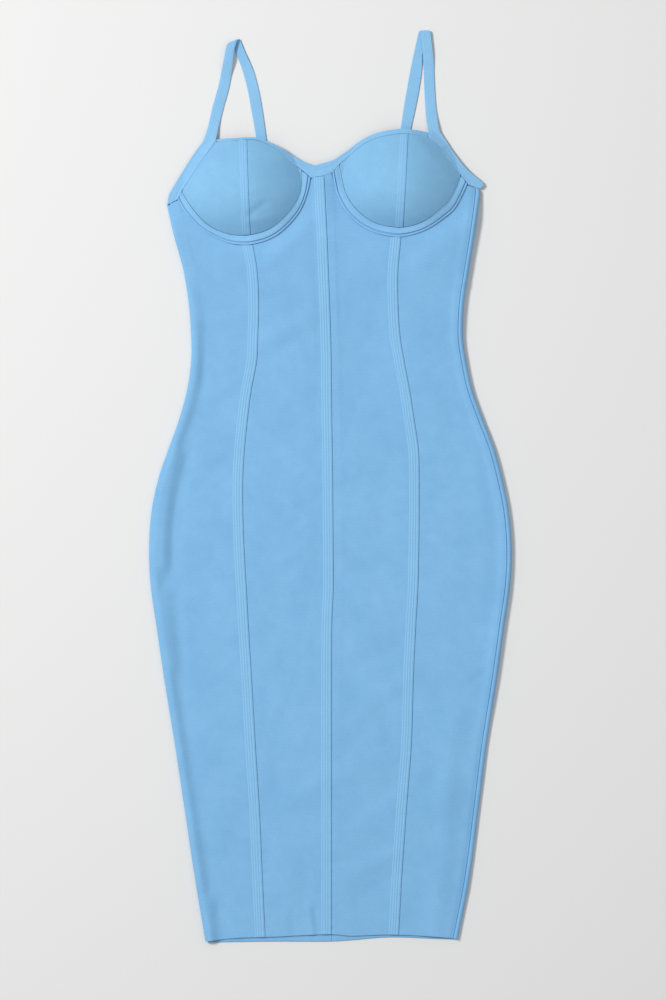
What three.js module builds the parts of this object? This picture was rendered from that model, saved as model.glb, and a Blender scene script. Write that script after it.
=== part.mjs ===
// A midi bodycon dress in a ribbed bandage knit, laid flat on its back with the front up.
// Millimetres: +X to the wearer's left, +Y from the hem to the straps, +Z up from the surface it lies on.
// Each piece is a wall of cloth: a grid of points on the garment's surface, thickened along the normals.
// The front is one surface, z = frontTop(x, y). The back lies on z = 0, and the sides roll between the two.

import * as THREE from "three";

// Driving dimensions
const KNIT = 1.5; // thickness of one layer of the body
const CUP_WALL = 3; // moulded and lined cup
const BAND_WALL = 2.2; // binding, folded double
const CASING_WALL = 2.6; // channel with its wire
const TAPE_WALL = 1.2;
const STRAP_WALL = 1.6;
const SEAM_GAP = 0.3;
const CUP_GAP = 0.5; // round a cup, whose wall leans
const LAYER_GAP = 0.9; // air between front and back where the dress lies flattest
const FLAT_TOP = 2 * KNIT + LAYER_GAP;
const BUST_BASE = 10; // height of the front at the wires
const BUST_RISE = { from: 150, to: 295 }; // where the front climbs to that height
const NECK_FALL = { depth: 4, from: 375, to: 425 };
const CUP_RISE = 32; // how far a cup's fullest point stands over the wires
const CUP_CROWN = 1.8; // power of the cup's profile across, under 2 so that it crowns along its seam
const CUP_FULLNESS = 0.9; // power of the rise, under 1 so that the sides stand fuller
const EDGE_ROLL = 4; // how far in from the outline a side starts to turn under
const EDGE_PUFF = { height: 3.2, inset: 5, width: 7 };
const TROUGH = { depth: 0.5, inset: 18, width: 6 }; // soft fold inside the left edge
const TROUGH_STRETCHES = [
  { from: -95, to: 35 },
  { from: -195, to: -130 },
];
const SIDE_SEAM_INSET = 6; // right side seam, on the front
const HIDDEN_SEAM_INSET = 12; // left side seam, underneath
const CENTRE_BACK = 2;
const BAND_WIDTH = 11; // back binding
const BAND_LIFT = 0.7; // how far bands and casings stand over the cloth beside them
const CASING_LIFT = 1;
const ARM_DROP = { share: 0.45, reach: 30 }; // the front sinks towards the armholes
const TOP_ROWS = 4; // rows between the last section and a panel's own top edge
const CUP_ROWS = 8;
const ROLL_STEPS = 4;
const STRAP_SETTLE = 30; // length in which a strap comes down from its band to the surface
const STRAP_CLIMB = { from: 50, to: 20 }; // distances before the fold over which its front leg climbs
const STRAP_PLAY = 0.1; // air under a lying strap
const SLOPE_REACH = 4; // half the distance a slope is measured over, so that normals turn gently at the wires

// Outline and seams, a row for each level from hem to underarm: x of the edges and of the three front seams.
const SECTIONS = [
  { y: -545, left: -149.5, princessLeft: -77.5, centre: 1.8, princessRight: 82, right: 153 },
  { y: -470, left: -162, princessLeft: -81, centre: 1.8, princessRight: 86, right: 167.5 },
  { y: -390, left: -174, princessLeft: -84.5, centre: 1.8, princessRight: 91.5, right: 178 },
  { y: -310, left: -186, princessLeft: -89.5, centre: 1.8, princessRight: 97.5, right: 188 },
  { y: -230, left: -199, princessLeft: -94, centre: 1.8, princessRight: 100, right: 200.5 },
  { y: -165, left: -208.5, princessLeft: -98, centre: 2.2, princessRight: 103, right: 209.5 },
  { y: -120, left: -215, princessLeft: -100.5, centre: 4, princessRight: 105.5, right: 216 },
  { y: -75, left: -217, princessLeft: -103, centre: 3.8, princessRight: 106.5, right: 218 },
  { y: -30, left: -214, princessLeft: -104.5, centre: 3.5, princessRight: 107, right: 214.5 },
  { y: 10, left: -205.5, princessLeft: -104.5, centre: 3.2, princessRight: 107, right: 206.5 },
  { y: 45, left: -193.5, princessLeft: -102.5, centre: 2.8, princessRight: 106, right: 197 },
  { y: 80, left: -181, princessLeft: -99, centre: 2.2, princessRight: 101, right: 183.5 },
  { y: 115, left: -171.5, princessLeft: -94.5, centre: 1.8, princessRight: 95.5, right: 171 },
  { y: 150, left: -166.5, princessLeft: -88, centre: 1.6, princessRight: 89, right: 163.5 },
  { y: 180, left: -166.5, princessLeft: -86.5, centre: 0.8, princessRight: 84, right: 159.5 },
  { y: 220, left: -169.5, princessLeft: -85.5, centre: -0.4, princessRight: 81.5, right: 161 },
  { y: 260, left: -176, princessLeft: -87.5, centre: -2, princessRight: 81.5, right: 167 },
  { y: 300, left: -187, princessLeft: -94, centre: -3.6, princessRight: 85, right: 173.5 },
  { y: 340, left: -196, princessLeft: -95, centre: -5.6, princessRight: 85.5, right: 179 },
  { y: 375, left: -202, princessLeft: -95, centre: -7.3, princessRight: 85.5, right: 183 },
];
const LAST_SHARED_LEVEL = 260;
const BACK_TOP_LEVEL = 300; // level where a back column's place under its top edge is read

// The hem, which hangs a little lower on the back layer.
const HEM = [
  { x: -160, front: -547, back: -547.5 },
  { x: -110, front: -542, back: -546.5 },
  { x: -65, front: -540.5, back: -546 },
  { x: 0, front: -537.5, back: -546 },
  { x: 25, front: -539.5, back: -544.5 },
  { x: 70, front: -538, back: -541 },
  { x: 120, front: -540, back: -542.5 },
  { x: 160, front: -543.5, back: -544 },
];

// Top of the back layer, binding included, hidden under the cups.
const BACK_TOP = [
  { x: -190, y: 334 },
  { x: -100, y: 324 },
  { x: 0, y: 320 },
  { x: 100, y: 330 },
  { x: 180, y: 356 },
];

// Stations along each wire, from left to right. out and in are the casing's edges on the body and on the cup,
// top is the cup's upper edge, and rim is the outer edge of the neck or armhole band there.
const LEFT_CUP = {
  seamStation: 6,
  cornerStation: 4,
  stations: [
    { outX: -181.5, outY: 343.5, inX: -177.5, inY: 353, topX: -175.8, topY: 356.8, rimX: -186.5, rimY: 361.5 },
    { outX: -173, outY: 328.5, inX: -168.5, inY: 338, topX: -166, topY: 372, rimX: -176.5, rimY: 378 },
    { outX: -157.5, outY: 312, inX: -154, inY: 320, topX: -155, topY: 389, rimX: -165.5, rimY: 395.5 },
    { outX: -141, outY: 300.5, inX: -138.5, inY: 308.5, topX: -144.5, topY: 403, rimX: -157, rimY: 407.5 },
    { outX: -122.5, outY: 292, inX: -121, inY: 302, topX: -135.5, topY: 412.8, rimX: -136.5, rimY: 416 },
    { outX: -107, outY: 289.3, inX: -105.5, inY: 300.3, topX: -109, topY: 414.3, rimX: -109, rimY: 417.5 },
    { outX: -94, outY: 290, inX: -95.5, inY: 301, topX: -99.5, topY: 414.9, rimX: -99.5, rimY: 418 },
    { outX: -77, outY: 294.5, inX: -78, inY: 305.5, topX: -86, topY: 414, rimX: -86, rimY: 417.2 },
    { outX: -61.5, outY: 303, inX: -63, inY: 314.5, topX: -73, topY: 408.3, rimX: -72, rimY: 412 },
    { outX: -46.5, outY: 317, inX: -49, inY: 328.5, topX: -60, topY: 400.7, rimX: -58.5, rimY: 405.6 },
    { outX: -35.5, outY: 332, inX: -39.5, inY: 343, topX: -49.5, topY: 390.6, rimX: -46, rimY: 397.6 },
    { outX: -27.5, outY: 351, inX: -34.5, inY: 358, topX: -41.5, topY: 384.2, rimX: -36, rimY: 391.4 },
    { outX: -23, outY: 368.8, inX: -33.7, inY: 375.5, topX: -34.2, topY: 379.2, rimX: -26, rimY: 387.2 },
  ],
};
const RIGHT_CUP = {
  seamStation: 7,
  cornerStation: 9,
  stations: [
    { outX: 2.3, outY: 374.2, inX: 11.5, inY: 383.5, topX: 12.5, topY: 386.8, rimX: 8.9, rimY: 394.1 },
    { outX: 5.5, outY: 360, inX: 15, inY: 366, topX: 18, topY: 391.2, rimX: 14.5, rimY: 398.2 },
    { outX: 10, outY: 346, inX: 19, inY: 351, topX: 25.5, topY: 398, rimX: 22.7, rimY: 403.7 },
    { outX: 20, outY: 328.5, inX: 28, inY: 336, topX: 34, topY: 405.6, rimX: 33.5, rimY: 412.1 },
    { outX: 35.5, outY: 313.5, inX: 42, inY: 322.5, topX: 45, topY: 412.4, rimX: 44, rimY: 418.6 },
    { outX: 53.5, outY: 304, inX: 58, inY: 314, topX: 60, topY: 418.3, rimX: 60, rimY: 424.6 },
    { outX: 73, outY: 299.5, inX: 77.5, inY: 310.3, topX: 83.5, topY: 422.2, rimX: 84.2, rimY: 428.5 },
    { outX: 85, outY: 299, inX: 87.5, inY: 310, topX: 93.4, topY: 422, rimX: 94, rimY: 428 },
    { outX: 102.5, outY: 302.9, inX: 102, inY: 313, topX: 106, topY: 420.3, rimX: 107, rimY: 426.3 },
    { outX: 118, outY: 309.4, inX: 115.5, inY: 319, topX: 117.3, topY: 418, rimX: 118.2, rimY: 424.3 },
    { outX: 133.7, outY: 319.9, inX: 129.5, inY: 329.5, topX: 128, topY: 409.8, rimX: 137.5, rimY: 417 },
    { outX: 148, outY: 331.8, inX: 141.5, inY: 340.5, topX: 138.5, topY: 396.5, rimX: 147.5, rimY: 402.3 },
    { outX: 157, outY: 347, inX: 149.5, inY: 354, topX: 148.5, topY: 383.5, rimX: 158.5, rimY: 387.2 },
    { outX: 163.8, outY: 361.3, inX: 156.3, inY: 370, topX: 156, topY: 374, rimX: 168.5, rimY: 376.6 },
  ],
};

// The neck band over the gore, between the two cups, from left to right.
const GORE = [
  { lowX: -22.8, lowY: 369.7, rimX: -17.3, rimY: 384.9 },
  { lowX: -19, lowY: 370.3, rimX: -13, rimY: 386 },
  { lowX: -7.3, lowY: 372, rimX: -5.5, rimY: 388.3 },
  { lowX: 2.6, lowY: 376, rimX: 1.5, rimY: 390.2 },
];

// Ends of the armhole bands, at the strap and at the underarm. in is the cup's side, out the armhole.
const LEFT_BAND_ENDS = {
  strap: [
    { inX: -137, inY: 415.4, outX: -151.7, outY: 414.9 },
    { inX: -136, inY: 413.2, outX: -154, outY: 411.5 },
  ],
  underarm: [
    { inX: -180.4, inY: 347.8, outX: -193, outY: 349.5 },
    { inX: -182.6, inY: 343.9, outX: -195.4, outY: 337 },
  ],
};
const RIGHT_BAND_ENDS = {
  strap: [
    { inX: 118.8, inY: 425, outX: 131.4, outY: 427.2 },
    { inX: 118, inY: 418.4, outX: 134.5, outY: 421.5 },
  ],
  underarm: [
    { inX: 161.6, inY: 366.6, outX: 184, outY: 363 },
    { inX: 165.3, inY: 361.6, outX: 180.6, outY: 356.4 },
  ],
};

// Straps, a row for each level: the front leg from its band up, the fold, and the back leg down to the back band.
const LEFT_STRAP = {
  foldRadius: 2.9,
  front: [
    { y: 415.8, left: -151.6, right: -137 },
    { y: 431, left: -146.4, right: -133.4 },
    { y: 455, left: -141, right: -127.3 },
    { y: 480, left: -134, right: -120.6 },
    { y: 506, left: -128.5, right: -116.5 },
    { y: 522, left: -125.5, right: -115 },
  ],
  fold: { y: 536, leftAbove: -123.5, rightAbove: -111.5, leftBelow: -114.5, rightBelow: -103.5 },
  back: [
    { y: 521, left: -113, right: -99.2 },
    { y: 500, left: -106.5, right: -91.3 },
    { y: 476, left: -99.2, right: -85.5 },
    { y: 448, left: -93.8, right: -80.4 },
    { y: 416, left: -88.2, right: -75.8 },
    { y: 370, left: -81, right: -68.6 },
    { y: 322.9, left: -74, right: -61.6 },
  ],
};
const RIGHT_STRAP = {
  foldRadius: 2.2,
  front: [
    { y: 427.9, left: 117.4, right: 131.4 },
    { y: 442.4, left: 115.3, right: 129 },
    { y: 463, left: 113.8, right: 126.9 },
    { y: 485, left: 112.8, right: 125.6 },
    { y: 507, left: 111.9, right: 124.8 },
    { y: 524, left: 110.8, right: 123.2 },
  ],
  fold: { y: 547, leftAbove: 108.2, rightAbove: 120.8, leftBelow: 106.2, rightBelow: 118 },
  back: [
    { y: 518, left: 100.2, right: 111.6 },
    { y: 498, left: 96.2, right: 110.2 },
    { y: 477, left: 92.4, right: 107.2 },
    { y: 455, left: 88.6, right: 103 },
    { y: 430, left: 84.8, right: 97.6 },
    { y: 385, left: 76.8, right: 89.6 },
    { y: 330.4, left: 67.6, right: 80.2 },
  ],
};

// Cup shapes: x of the seam, y of the fullest level, and how far the cup reaches each way.
const CUPS = [
  { x: -97, y: 352, reachLeft: 80, reachRight: 64, reachDown: 53, reachUp: 78 },
  { x: 90, y: 361, reachLeft: 76, reachRight: 66, reachDown: 53, reachUp: 78 },
];

// Armhole lines, each from the strap to the underarm.
const ARMHOLES = [
  { fromX: -151.7, fromY: 414.9, toX: -195.4, toY: 343.5, inward: 1 },
  { fromX: 131.4, fromY: 427, toX: 184.3, toY: 362, inward: -1 },
];

const lerp = THREE.MathUtils.lerp;
const smooth = (from, to, value) => THREE.MathUtils.smoothstep(value, from, to);
const bell = (distance, width) => Math.exp(-((distance / width) ** 2));

// Value of one named column at a place along a table, by a cubic through the rows.
function along(table, key, name, place) {
  let i = table.findIndex((row) => row[key] > place) - 1;
  if (i < -1) i = table.length - 2;
  i = THREE.MathUtils.clamp(i, 0, table.length - 2);
  const slope = (k) => {
    const before = table[Math.max(k - 1, 0)];
    const after = table[Math.min(k + 1, table.length - 1)];
    return (after[name] - before[name]) / (after[key] - before[key]);
  };
  const a = table[i];
  const b = table[i + 1];
  const span = b[key] - a[key];
  const t = THREE.MathUtils.clamp((place - a[key]) / span, 0, 1);
  const t2 = t * t;
  const t3 = t2 * t;
  return (
    (2 * t3 - 3 * t2 + 1) * a[name] +
    (t3 - 2 * t2 + t) * span * slope(i) +
    (3 * t2 - 2 * t3) * b[name] +
    (t3 - t2) * span * slope(i + 1)
  );
}

const seamX = (name, y) => along(SECTIONS, "y", name, y);
const hemY = (layer, x) => along(HEM, "x", layer, x);
const backPanelTop = (x) => backTopY(x) - BAND_WIDTH - SEAM_GAP;
const backTopY = (x) => along(BACK_TOP, "x", "y", x);

// Share of a cup's rise at a point: a paraboloid, a little fuller at its sides, crowned along the seam.
function cupShare(cup, x, y) {
  const across = (x - cup.x) / (x < cup.x ? cup.reachLeft : cup.reachRight);
  const up = (y - cup.y) / (y < cup.y ? cup.reachDown : cup.reachUp);
  const inside = 1 - Math.abs(across) ** CUP_CROWN - up * up;
  return inside > 0 ? inside ** CUP_FULLNESS : 0;
}

// Distance of a point inside an armhole's line.
function insideArmhole(line, x, y) {
  const dx = line.toX - line.fromX;
  const dy = line.toY - line.fromY;
  const cross = dx * (y - line.fromY) - dy * (x - line.fromX);
  return (line.inward * cross) / Math.hypot(dx, dy);
}

// Height of the front layer's outer face.
function frontTop(x, y) {
  const bust = smooth(BUST_RISE.from, BUST_RISE.to, y);
  const neck = NECK_FALL.depth * smooth(NECK_FALL.from, NECK_FALL.to, y);
  const fromLeft = x - seamX("left", y);
  const fromRight = seamX("right", y) - x;
  const puff = EDGE_PUFF.height * bell(Math.min(fromLeft, fromRight) - EDGE_PUFF.inset, EDGE_PUFF.width);
  const inTrough = TROUGH_STRETCHES.some((s) => y >= s.from && y <= s.to);
  const trough = inTrough ? TROUGH.depth * bell(fromLeft - TROUGH.inset, TROUGH.width) : 0;
  let height = FLAT_TOP + (BUST_BASE - FLAT_TOP) * bust - neck + (1 - bust) * puff - trough;
  for (const cup of CUPS) height += CUP_RISE * cupShare(cup, x, y);
  for (const line of ARMHOLES) {
    const inside = insideArmhole(line, x, y);
    height *= 1 - ARM_DROP.share * bust * (1 - smooth(0, ARM_DROP.reach, inside));
  }
  return height;
}

// A point on the front's outer face, with its normal from the slope there.
function onFront(x, y) {
  const step = SLOPE_REACH;
  const slopeX = (frontTop(x + step, y) - frontTop(x - step, y)) / (2 * step);
  const slopeY = (frontTop(x, y + step) - frontTop(x, y - step)) / (2 * step);
  return {
    point: new THREE.Vector3(x, y, frontTop(x, y)),
    normal: new THREE.Vector3(-slopeX, -slopeY, 1).normalize(),
  };
}

// A point on the face that lies on the surface.
const underneath = (x, y) => ({
  point: new THREE.Vector3(x, y, 0),
  normal: new THREE.Vector3(0, 0, -1),
});

// A point on a rolled side: turn runs from -1 underneath to 1 on top, and side is -1 at the left edge.
function onRoll(side, turn, y) {
  const angle = (turn * Math.PI) / 2;
  const edge = seamX(side < 0 ? "left" : "right", y);
  const x = edge - side * EDGE_ROLL * (1 - Math.cos(angle));
  const height = frontTop(edge - side * EDGE_ROLL, y);
  return {
    point: new THREE.Vector3(x, y, (height / 2) * (1 + Math.sin(angle))),
    normal: new THREE.Vector3(side * Math.cos(angle), 0, Math.sin(angle)),
  };
}

const lifted = (grid, distance) =>
  grid.map((row) =>
    row.map(({ point, normal }) => ({
      point: point.clone().addScaledVector(normal, distance),
      normal,
    })),
  );

// A closed wall of cloth under a grid of surface points. Rows run up and columns to the right, seen from outside.
function wall(grid, thickness) {
  const rows = grid.length;
  const columns = grid[0].length;
  const outer = grid.flat().map(({ point }) => point);
  const inner = lifted(grid, -thickness)
    .flat()
    .map(({ point }) => point);
  const innerStart = rows * columns;
  const index = [];
  const quad = (a, b, c, d) => index.push(a, b, c, a, c, d);
  const at = (i, j) => i * columns + j;
  for (let i = 0; i < rows - 1; i++) {
    for (let j = 0; j < columns - 1; j++) {
      const corners = [at(i, j), at(i, j + 1), at(i + 1, j + 1), at(i + 1, j)];
      quad(...corners);
      const [a, b, c, d] = corners.map((k) => k + innerStart);
      index.push(a, c, b, a, d, c);
    }
  }
  const side = (a, b) => quad(b, a, a + innerStart, b + innerStart);
  for (let j = 0; j < columns - 1; j++) {
    side(at(0, j), at(0, j + 1));
    side(at(rows - 1, j + 1), at(rows - 1, j));
  }
  for (let i = 0; i < rows - 1; i++) {
    side(at(i + 1, 0), at(i, 0));
    side(at(i, columns - 1), at(i + 1, columns - 1));
  }
  const geometry = new THREE.BufferGeometry().setFromPoints([...outer, ...inner]);
  geometry.setIndex(index);
  geometry.computeVertexNormals();
  return geometry;
}

// A panel's grid. Each column has a point for every level and its own top edge.
function panelGrid(layer, columns) {
  const levels = SECTIONS.map((row) => row.y).filter((y) => y <= LAST_SHARED_LEVEL);
  const below = levels.map((y, i) =>
    columns.map((c) => c.at(i ? y : hemY(c.hemLayer || layer, c.hemX))),
  );
  const above = [];
  for (let k = 1; k <= TOP_ROWS; k++) {
    const share = k / TOP_ROWS;
    above.push(columns.map((c) => c.at(lerp(LAST_SHARED_LEVEL, c.topY, share))));
  }
  return [...below, ...above];
}

// A column of a front panel that keeps its share of the width between two seams. shift moves it off a seam line.
function frontColumn(leftSeam, rightSeam, topX, topY, shift = 0) {
  const width = seamX(rightSeam, topY) - seamX(leftSeam, topY);
  const share = THREE.MathUtils.clamp((topX - seamX(leftSeam, topY)) / width, 0, 1);
  const xAt = (y) => lerp(seamX(leftSeam, y), seamX(rightSeam, y), share) + shift;
  return { hemX: xAt(SECTIONS[0].y), topY, at: (y) => onFront(xAt(y), y) };
}

// A column at a fixed distance from a side's edge, on the front or underneath.
function edgeColumn(side, inset, topY, place) {
  const xAt = (y) => seamX(side < 0 ? "left" : "right", y) - side * inset;
  return { hemX: xAt(SECTIONS[0].y), topY, at: (y) => place(xAt(y), y) };
}

// The columns round a rolled side, from the front down to the underside.
function rollColumns(side, topY) {
  const columns = [];
  for (let k = 1; k <= 2 * ROLL_STEPS; k++) {
    const turn = 1 - k / ROLL_STEPS;
    columns.push({
      hemX: seamX(side < 0 ? "left" : "right", SECTIONS[0].y),
      topY,
      at: (y) => onRoll(side, turn, y),
    });
  }
  return columns;
}

// One edge of a cup's stations as points, moved a distance to the edge's upper left.
function edgeLine(stations, edge, distance) {
  const at = (k) => stations[THREE.MathUtils.clamp(k, 0, stations.length - 1)];
  return stations.map((station, k) => {
    const dx = at(k + 1)[edge + "X"] - at(k - 1)[edge + "X"];
    const dy = at(k + 1)[edge + "Y"] - at(k - 1)[edge + "Y"];
    const length = Math.hypot(dx, dy);
    return {
      x: station[edge + "X"] - (dy / length) * distance,
      y: station[edge + "Y"] + (dx / length) * distance,
    };
  });
}

const HALF_GAP = SEAM_GAP / 2;
const bodyTops = (cup) => edgeLine(cup.stations, "out", -SEAM_GAP);
const columnsUnder = (tops, leftSeam, rightSeam, shift) =>
  tops.map(({ x, y }) => frontColumn(leftSeam, rightSeam, x, y, shift));

// Level just under an armhole band's end, at a distance in from the side's edge.
function underBand(ends, inset) {
  const { inX, inY, outX, outY } = ends.underarm.at(-1);
  const slope = (inY - outY) / Math.abs(inX - outX);
  return outY + slope * inset - 2 * SEAM_GAP;
}
const underLeftBand = (inset) => underBand(LEFT_BAND_ENDS, inset);
const underRightBand = (inset) => underBand(RIGHT_BAND_ENDS, inset);

function frontSideLeft() {
  const tops = bodyTops(LEFT_CUP).slice(0, LEFT_CUP.seamStation + 1);
  const columns = columnsUnder(tops, "left", "princessLeft", -HALF_GAP);
  const rollTop = underLeftBand(0);
  const roll = rollColumns(-1, rollTop).reverse();
  const hiddenTop = backPanelTop(seamX("left", BACK_TOP_LEVEL) + HIDDEN_SEAM_INSET + SEAM_GAP);
  const hidden = edgeColumn(-1, HIDDEN_SEAM_INSET, hiddenTop, underneath);
  hidden.hemLayer = "back";
  const rollStart = edgeColumn(-1, EDGE_ROLL, underLeftBand(EDGE_ROLL), onFront);
  const shoulder = edgeColumn(-1, 2 * EDGE_ROLL, underLeftBand(2 * EDGE_ROLL), onFront);
  return panelGrid("front", [hidden, ...roll, rollStart, shoulder, ...columns]);
}

function frontCentreLeft() {
  const tops = bodyTops(LEFT_CUP).slice(LEFT_CUP.seamStation);
  const columns = columnsUnder(tops, "princessLeft", "centre", HALF_GAP);
  const gore = GORE.slice(1, 3).map(({ lowX, lowY }) =>
    frontColumn("princessLeft", "centre", lowX, lowY - SEAM_GAP, -HALF_GAP),
  );
  return panelGrid("front", [...columns, ...gore]);
}

function frontCentreRight() {
  const tops = bodyTops(RIGHT_CUP).slice(0, RIGHT_CUP.seamStation + 1);
  const columns = columnsUnder(tops, "centre", "princessRight", -HALF_GAP);
  const seam = frontColumn("centre", "princessRight", GORE[2].lowX, GORE[2].lowY - SEAM_GAP, HALF_GAP);
  return panelGrid("front", [seam, ...columns]);
}

function frontSideRight() {
  const tops = bodyTops(RIGHT_CUP).slice(RIGHT_CUP.seamStation);
  const columns = columnsUnder(tops, "princessRight", "right", HALF_GAP);
  const seam = edgeColumn(1, SIDE_SEAM_INSET + HALF_GAP, underRightBand(SIDE_SEAM_INSET), onFront);
  return panelGrid("front", [...columns, seam]);
}

// Underside columns of the back between two x positions, from right to left.
function backColumns(fromX, toX, count) {
  const columns = [];
  for (let k = 0; k <= count; k++) {
    const share = k / count;
    const xAt = (y) => lerp(fromX(y), toX(y), share);
    const topY = backPanelTop(xAt(BACK_TOP_LEVEL));
    columns.push({ hemX: xAt(SECTIONS[0].y), topX: xAt(topY), topY, at: (y) => underneath(xAt(y), y) });
  }
  return columns;
}

const backRightColumns = () =>
  backColumns((y) => seamX("right", y) - EDGE_ROLL, () => CENTRE_BACK + HALF_GAP, 4);
const backLeftColumns = () =>
  backColumns(() => CENTRE_BACK - HALF_GAP, (y) => seamX("left", y) + HIDDEN_SEAM_INSET + SEAM_GAP, 4);

function backRight() {
  const seam = edgeColumn(1, SIDE_SEAM_INSET - HALF_GAP, underRightBand(SIDE_SEAM_INSET), onFront);
  const rollStart = edgeColumn(1, EDGE_ROLL, underRightBand(EDGE_ROLL), onFront);
  const roll = rollColumns(1, underRightBand(0)).slice(0, -1);
  return panelGrid("back", [seam, rollStart, ...roll, ...backRightColumns()]);
}

const backLeft = () => panelGrid("back", backLeftColumns());

// The back's binding, from the right underarm to the left one, over the tops of the back's columns.
function backBand() {
  const columns = [...backRightColumns(), ...backLeftColumns().slice(1)];
  const row = (rise) => columns.map(({ topX, topY }) => underneath(topX, topY + rise));
  return [row(SEAM_GAP), row(SEAM_GAP + BAND_WIDTH)];
}

// One half of a cup, between two of its stations, from the casing to the upper edge.
function cupHalf(cup, first, last) {
  const starts = edgeLine(cup.stations, "in", CUP_GAP).slice(first, last + 1);
  const ends = edgeLine(cup.stations, "top", SEAM_GAP - CUP_GAP).slice(first, last + 1);
  const columns = starts.map((start, k) => {
    const onSeam = first + k === cup.seamStation;
    const shift = onSeam ? (k ? -HALF_GAP : HALF_GAP) : 0;
    return { start, end: ends[k], shift };
  });
  const grid = [];
  for (let i = 0; i <= CUP_ROWS; i++) {
    const share = i / CUP_ROWS;
    grid.push(
      columns.map(({ start, end, shift }) =>
        onFront(lerp(start.x, end.x, share) + shift, lerp(start.y, end.y, share)),
      ),
    );
  }
  return grid;
}

// A wire casing: a strip between its edge on the body and its edge on the cup.
function casing(cup) {
  const row = (edge) => cup.stations.map((s) => onFront(s[edge + "X"], s[edge + "Y"]));
  return lifted([row("out"), row("in")], CASING_LIFT);
}

// The neck band: over the left cup, the gore and the right cup.
function neckBand() {
  const overLeft = LEFT_CUP.stations.slice(LEFT_CUP.cornerStation);
  const overRight = RIGHT_CUP.stations.slice(0, RIGHT_CUP.cornerStation + 1);
  const low = [
    ...edgeLine(overLeft, "top", SEAM_GAP),
    ...GORE.map(({ lowX, lowY }) => ({ x: lowX, y: lowY })),
    ...edgeLine(overRight, "top", SEAM_GAP),
  ];
  const rim = [...overLeft, ...GORE, ...overRight].map(({ rimX, rimY }) => ({ x: rimX, y: rimY }));
  return lifted(
    [low, rim].map((row) => row.map(({ x, y }) => onFront(x, y))),
    BAND_LIFT,
  );
}

// An armhole band, from left to right along its lower edge: stations are those beside the armhole.
function armholeBand(stations, ends, leftSide) {
  const inner = edgeLine(stations, "top", SEAM_GAP);
  const between = stations.map(({ rimX, rimY }, k) => ({
    inX: inner[k].x,
    inY: inner[k].y,
    outX: rimX,
    outY: rimY,
  }));
  const rows = leftSide
    ? [...[...ends.underarm].reverse(), ...between, ...[...ends.strap].reverse()]
    : [...ends.strap, ...between, ...ends.underarm];
  const row = (edge) => rows.map((r) => onFront(r[edge + "X"], r[edge + "Y"]));
  return lifted([row("in"), row("out")], BAND_LIFT);
}

// A strap: up its front leg, over the fold and down its back leg, with the cross lines level.
function strap(shape) {
  const { front, fold, back, foldRadius } = shape;
  const foldTop = 2 * foldRadius;
  const bandEnd = front[0];
  const bandTop = frontTop((bandEnd.left + bandEnd.right) / 2, bandEnd.y) + BAND_LIFT;
  const lying = STRAP_WALL + STRAP_PLAY;
  const frontHeight = (y) =>
    lying +
    (bandTop - lying) * (1 - smooth(bandEnd.y, bandEnd.y + STRAP_SETTLE, y)) +
    (foldTop - lying) * smooth(fold.y - STRAP_CLIMB.from, fold.y - STRAP_CLIMB.to, y);
  const cross = (left, right, y, z, normal) => {
    const point = (x) => ({ point: new THREE.Vector3(x, y, z), normal });
    return [point(left), point(right)];
  };
  const up = new THREE.Vector3(0, 0, 1);
  const down = new THREE.Vector3(0, 0, -1);
  const rows = front.map(({ y, left, right }) => cross(left, right, y, frontHeight(y), up));
  for (let k = 0; k <= 2 * ROLL_STEPS; k++) {
    const share = k / (2 * ROLL_STEPS);
    const angle = (0.5 - share) * Math.PI;
    rows.push(
      cross(
        lerp(fold.leftAbove, fold.leftBelow, share),
        lerp(fold.rightAbove, fold.rightBelow, share),
        fold.y - foldRadius * (1 - Math.cos(angle)),
        foldRadius * (1 + Math.sin(angle)),
        new THREE.Vector3(0, Math.cos(angle), Math.sin(angle)),
      ),
    );
  }
  rows.push(...back.map(({ y, left, right }) => cross(left, right, y, 0, down)));
  return rows;
}

// The last column of cells of a grid, where a seam tape lies.
const lastCells = (grid) => grid.map((row) => row.slice(-2));
const tape = (grid) => lifted(lastCells(grid), SEAM_GAP + TAPE_WALL);

const KNIT_BLUE = new THREE.MeshStandardMaterial({ color: 0x7fb8e2, roughness: 0.85, metalness: 0 });
const BAND_BLUE = new THREE.MeshStandardMaterial({ color: 0x86bce4, roughness: 0.8, metalness: 0 });

const dress = new THREE.Group();

function addPiece(name, grid, thickness, material) {
  const mesh = new THREE.Mesh(wall(grid, thickness), material);
  mesh.name = name;
  dress.add(mesh);
}

const lastLeft = LEFT_CUP.stations.length - 1;
const lastRight = RIGHT_CUP.stations.length - 1;
const panels = {
  back_left: backLeft(),
  back_right: backRight(),
  front_side_left: frontSideLeft(),
  front_centre_left: frontCentreLeft(),
  front_centre_right: frontCentreRight(),
  front_side_right: frontSideRight(),
};
const cups = {
  cup_left_outer: cupHalf(LEFT_CUP, 0, LEFT_CUP.seamStation),
  cup_left_inner: cupHalf(LEFT_CUP, LEFT_CUP.seamStation, lastLeft),
  cup_right_inner: cupHalf(RIGHT_CUP, 0, RIGHT_CUP.seamStation),
  cup_right_outer: cupHalf(RIGHT_CUP, RIGHT_CUP.seamStation, lastRight),
};

for (const [name, grid] of Object.entries(panels)) addPiece(name, grid, KNIT, KNIT_BLUE);
for (const [name, grid] of Object.entries(cups)) addPiece(name, grid, CUP_WALL, KNIT_BLUE);

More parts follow.
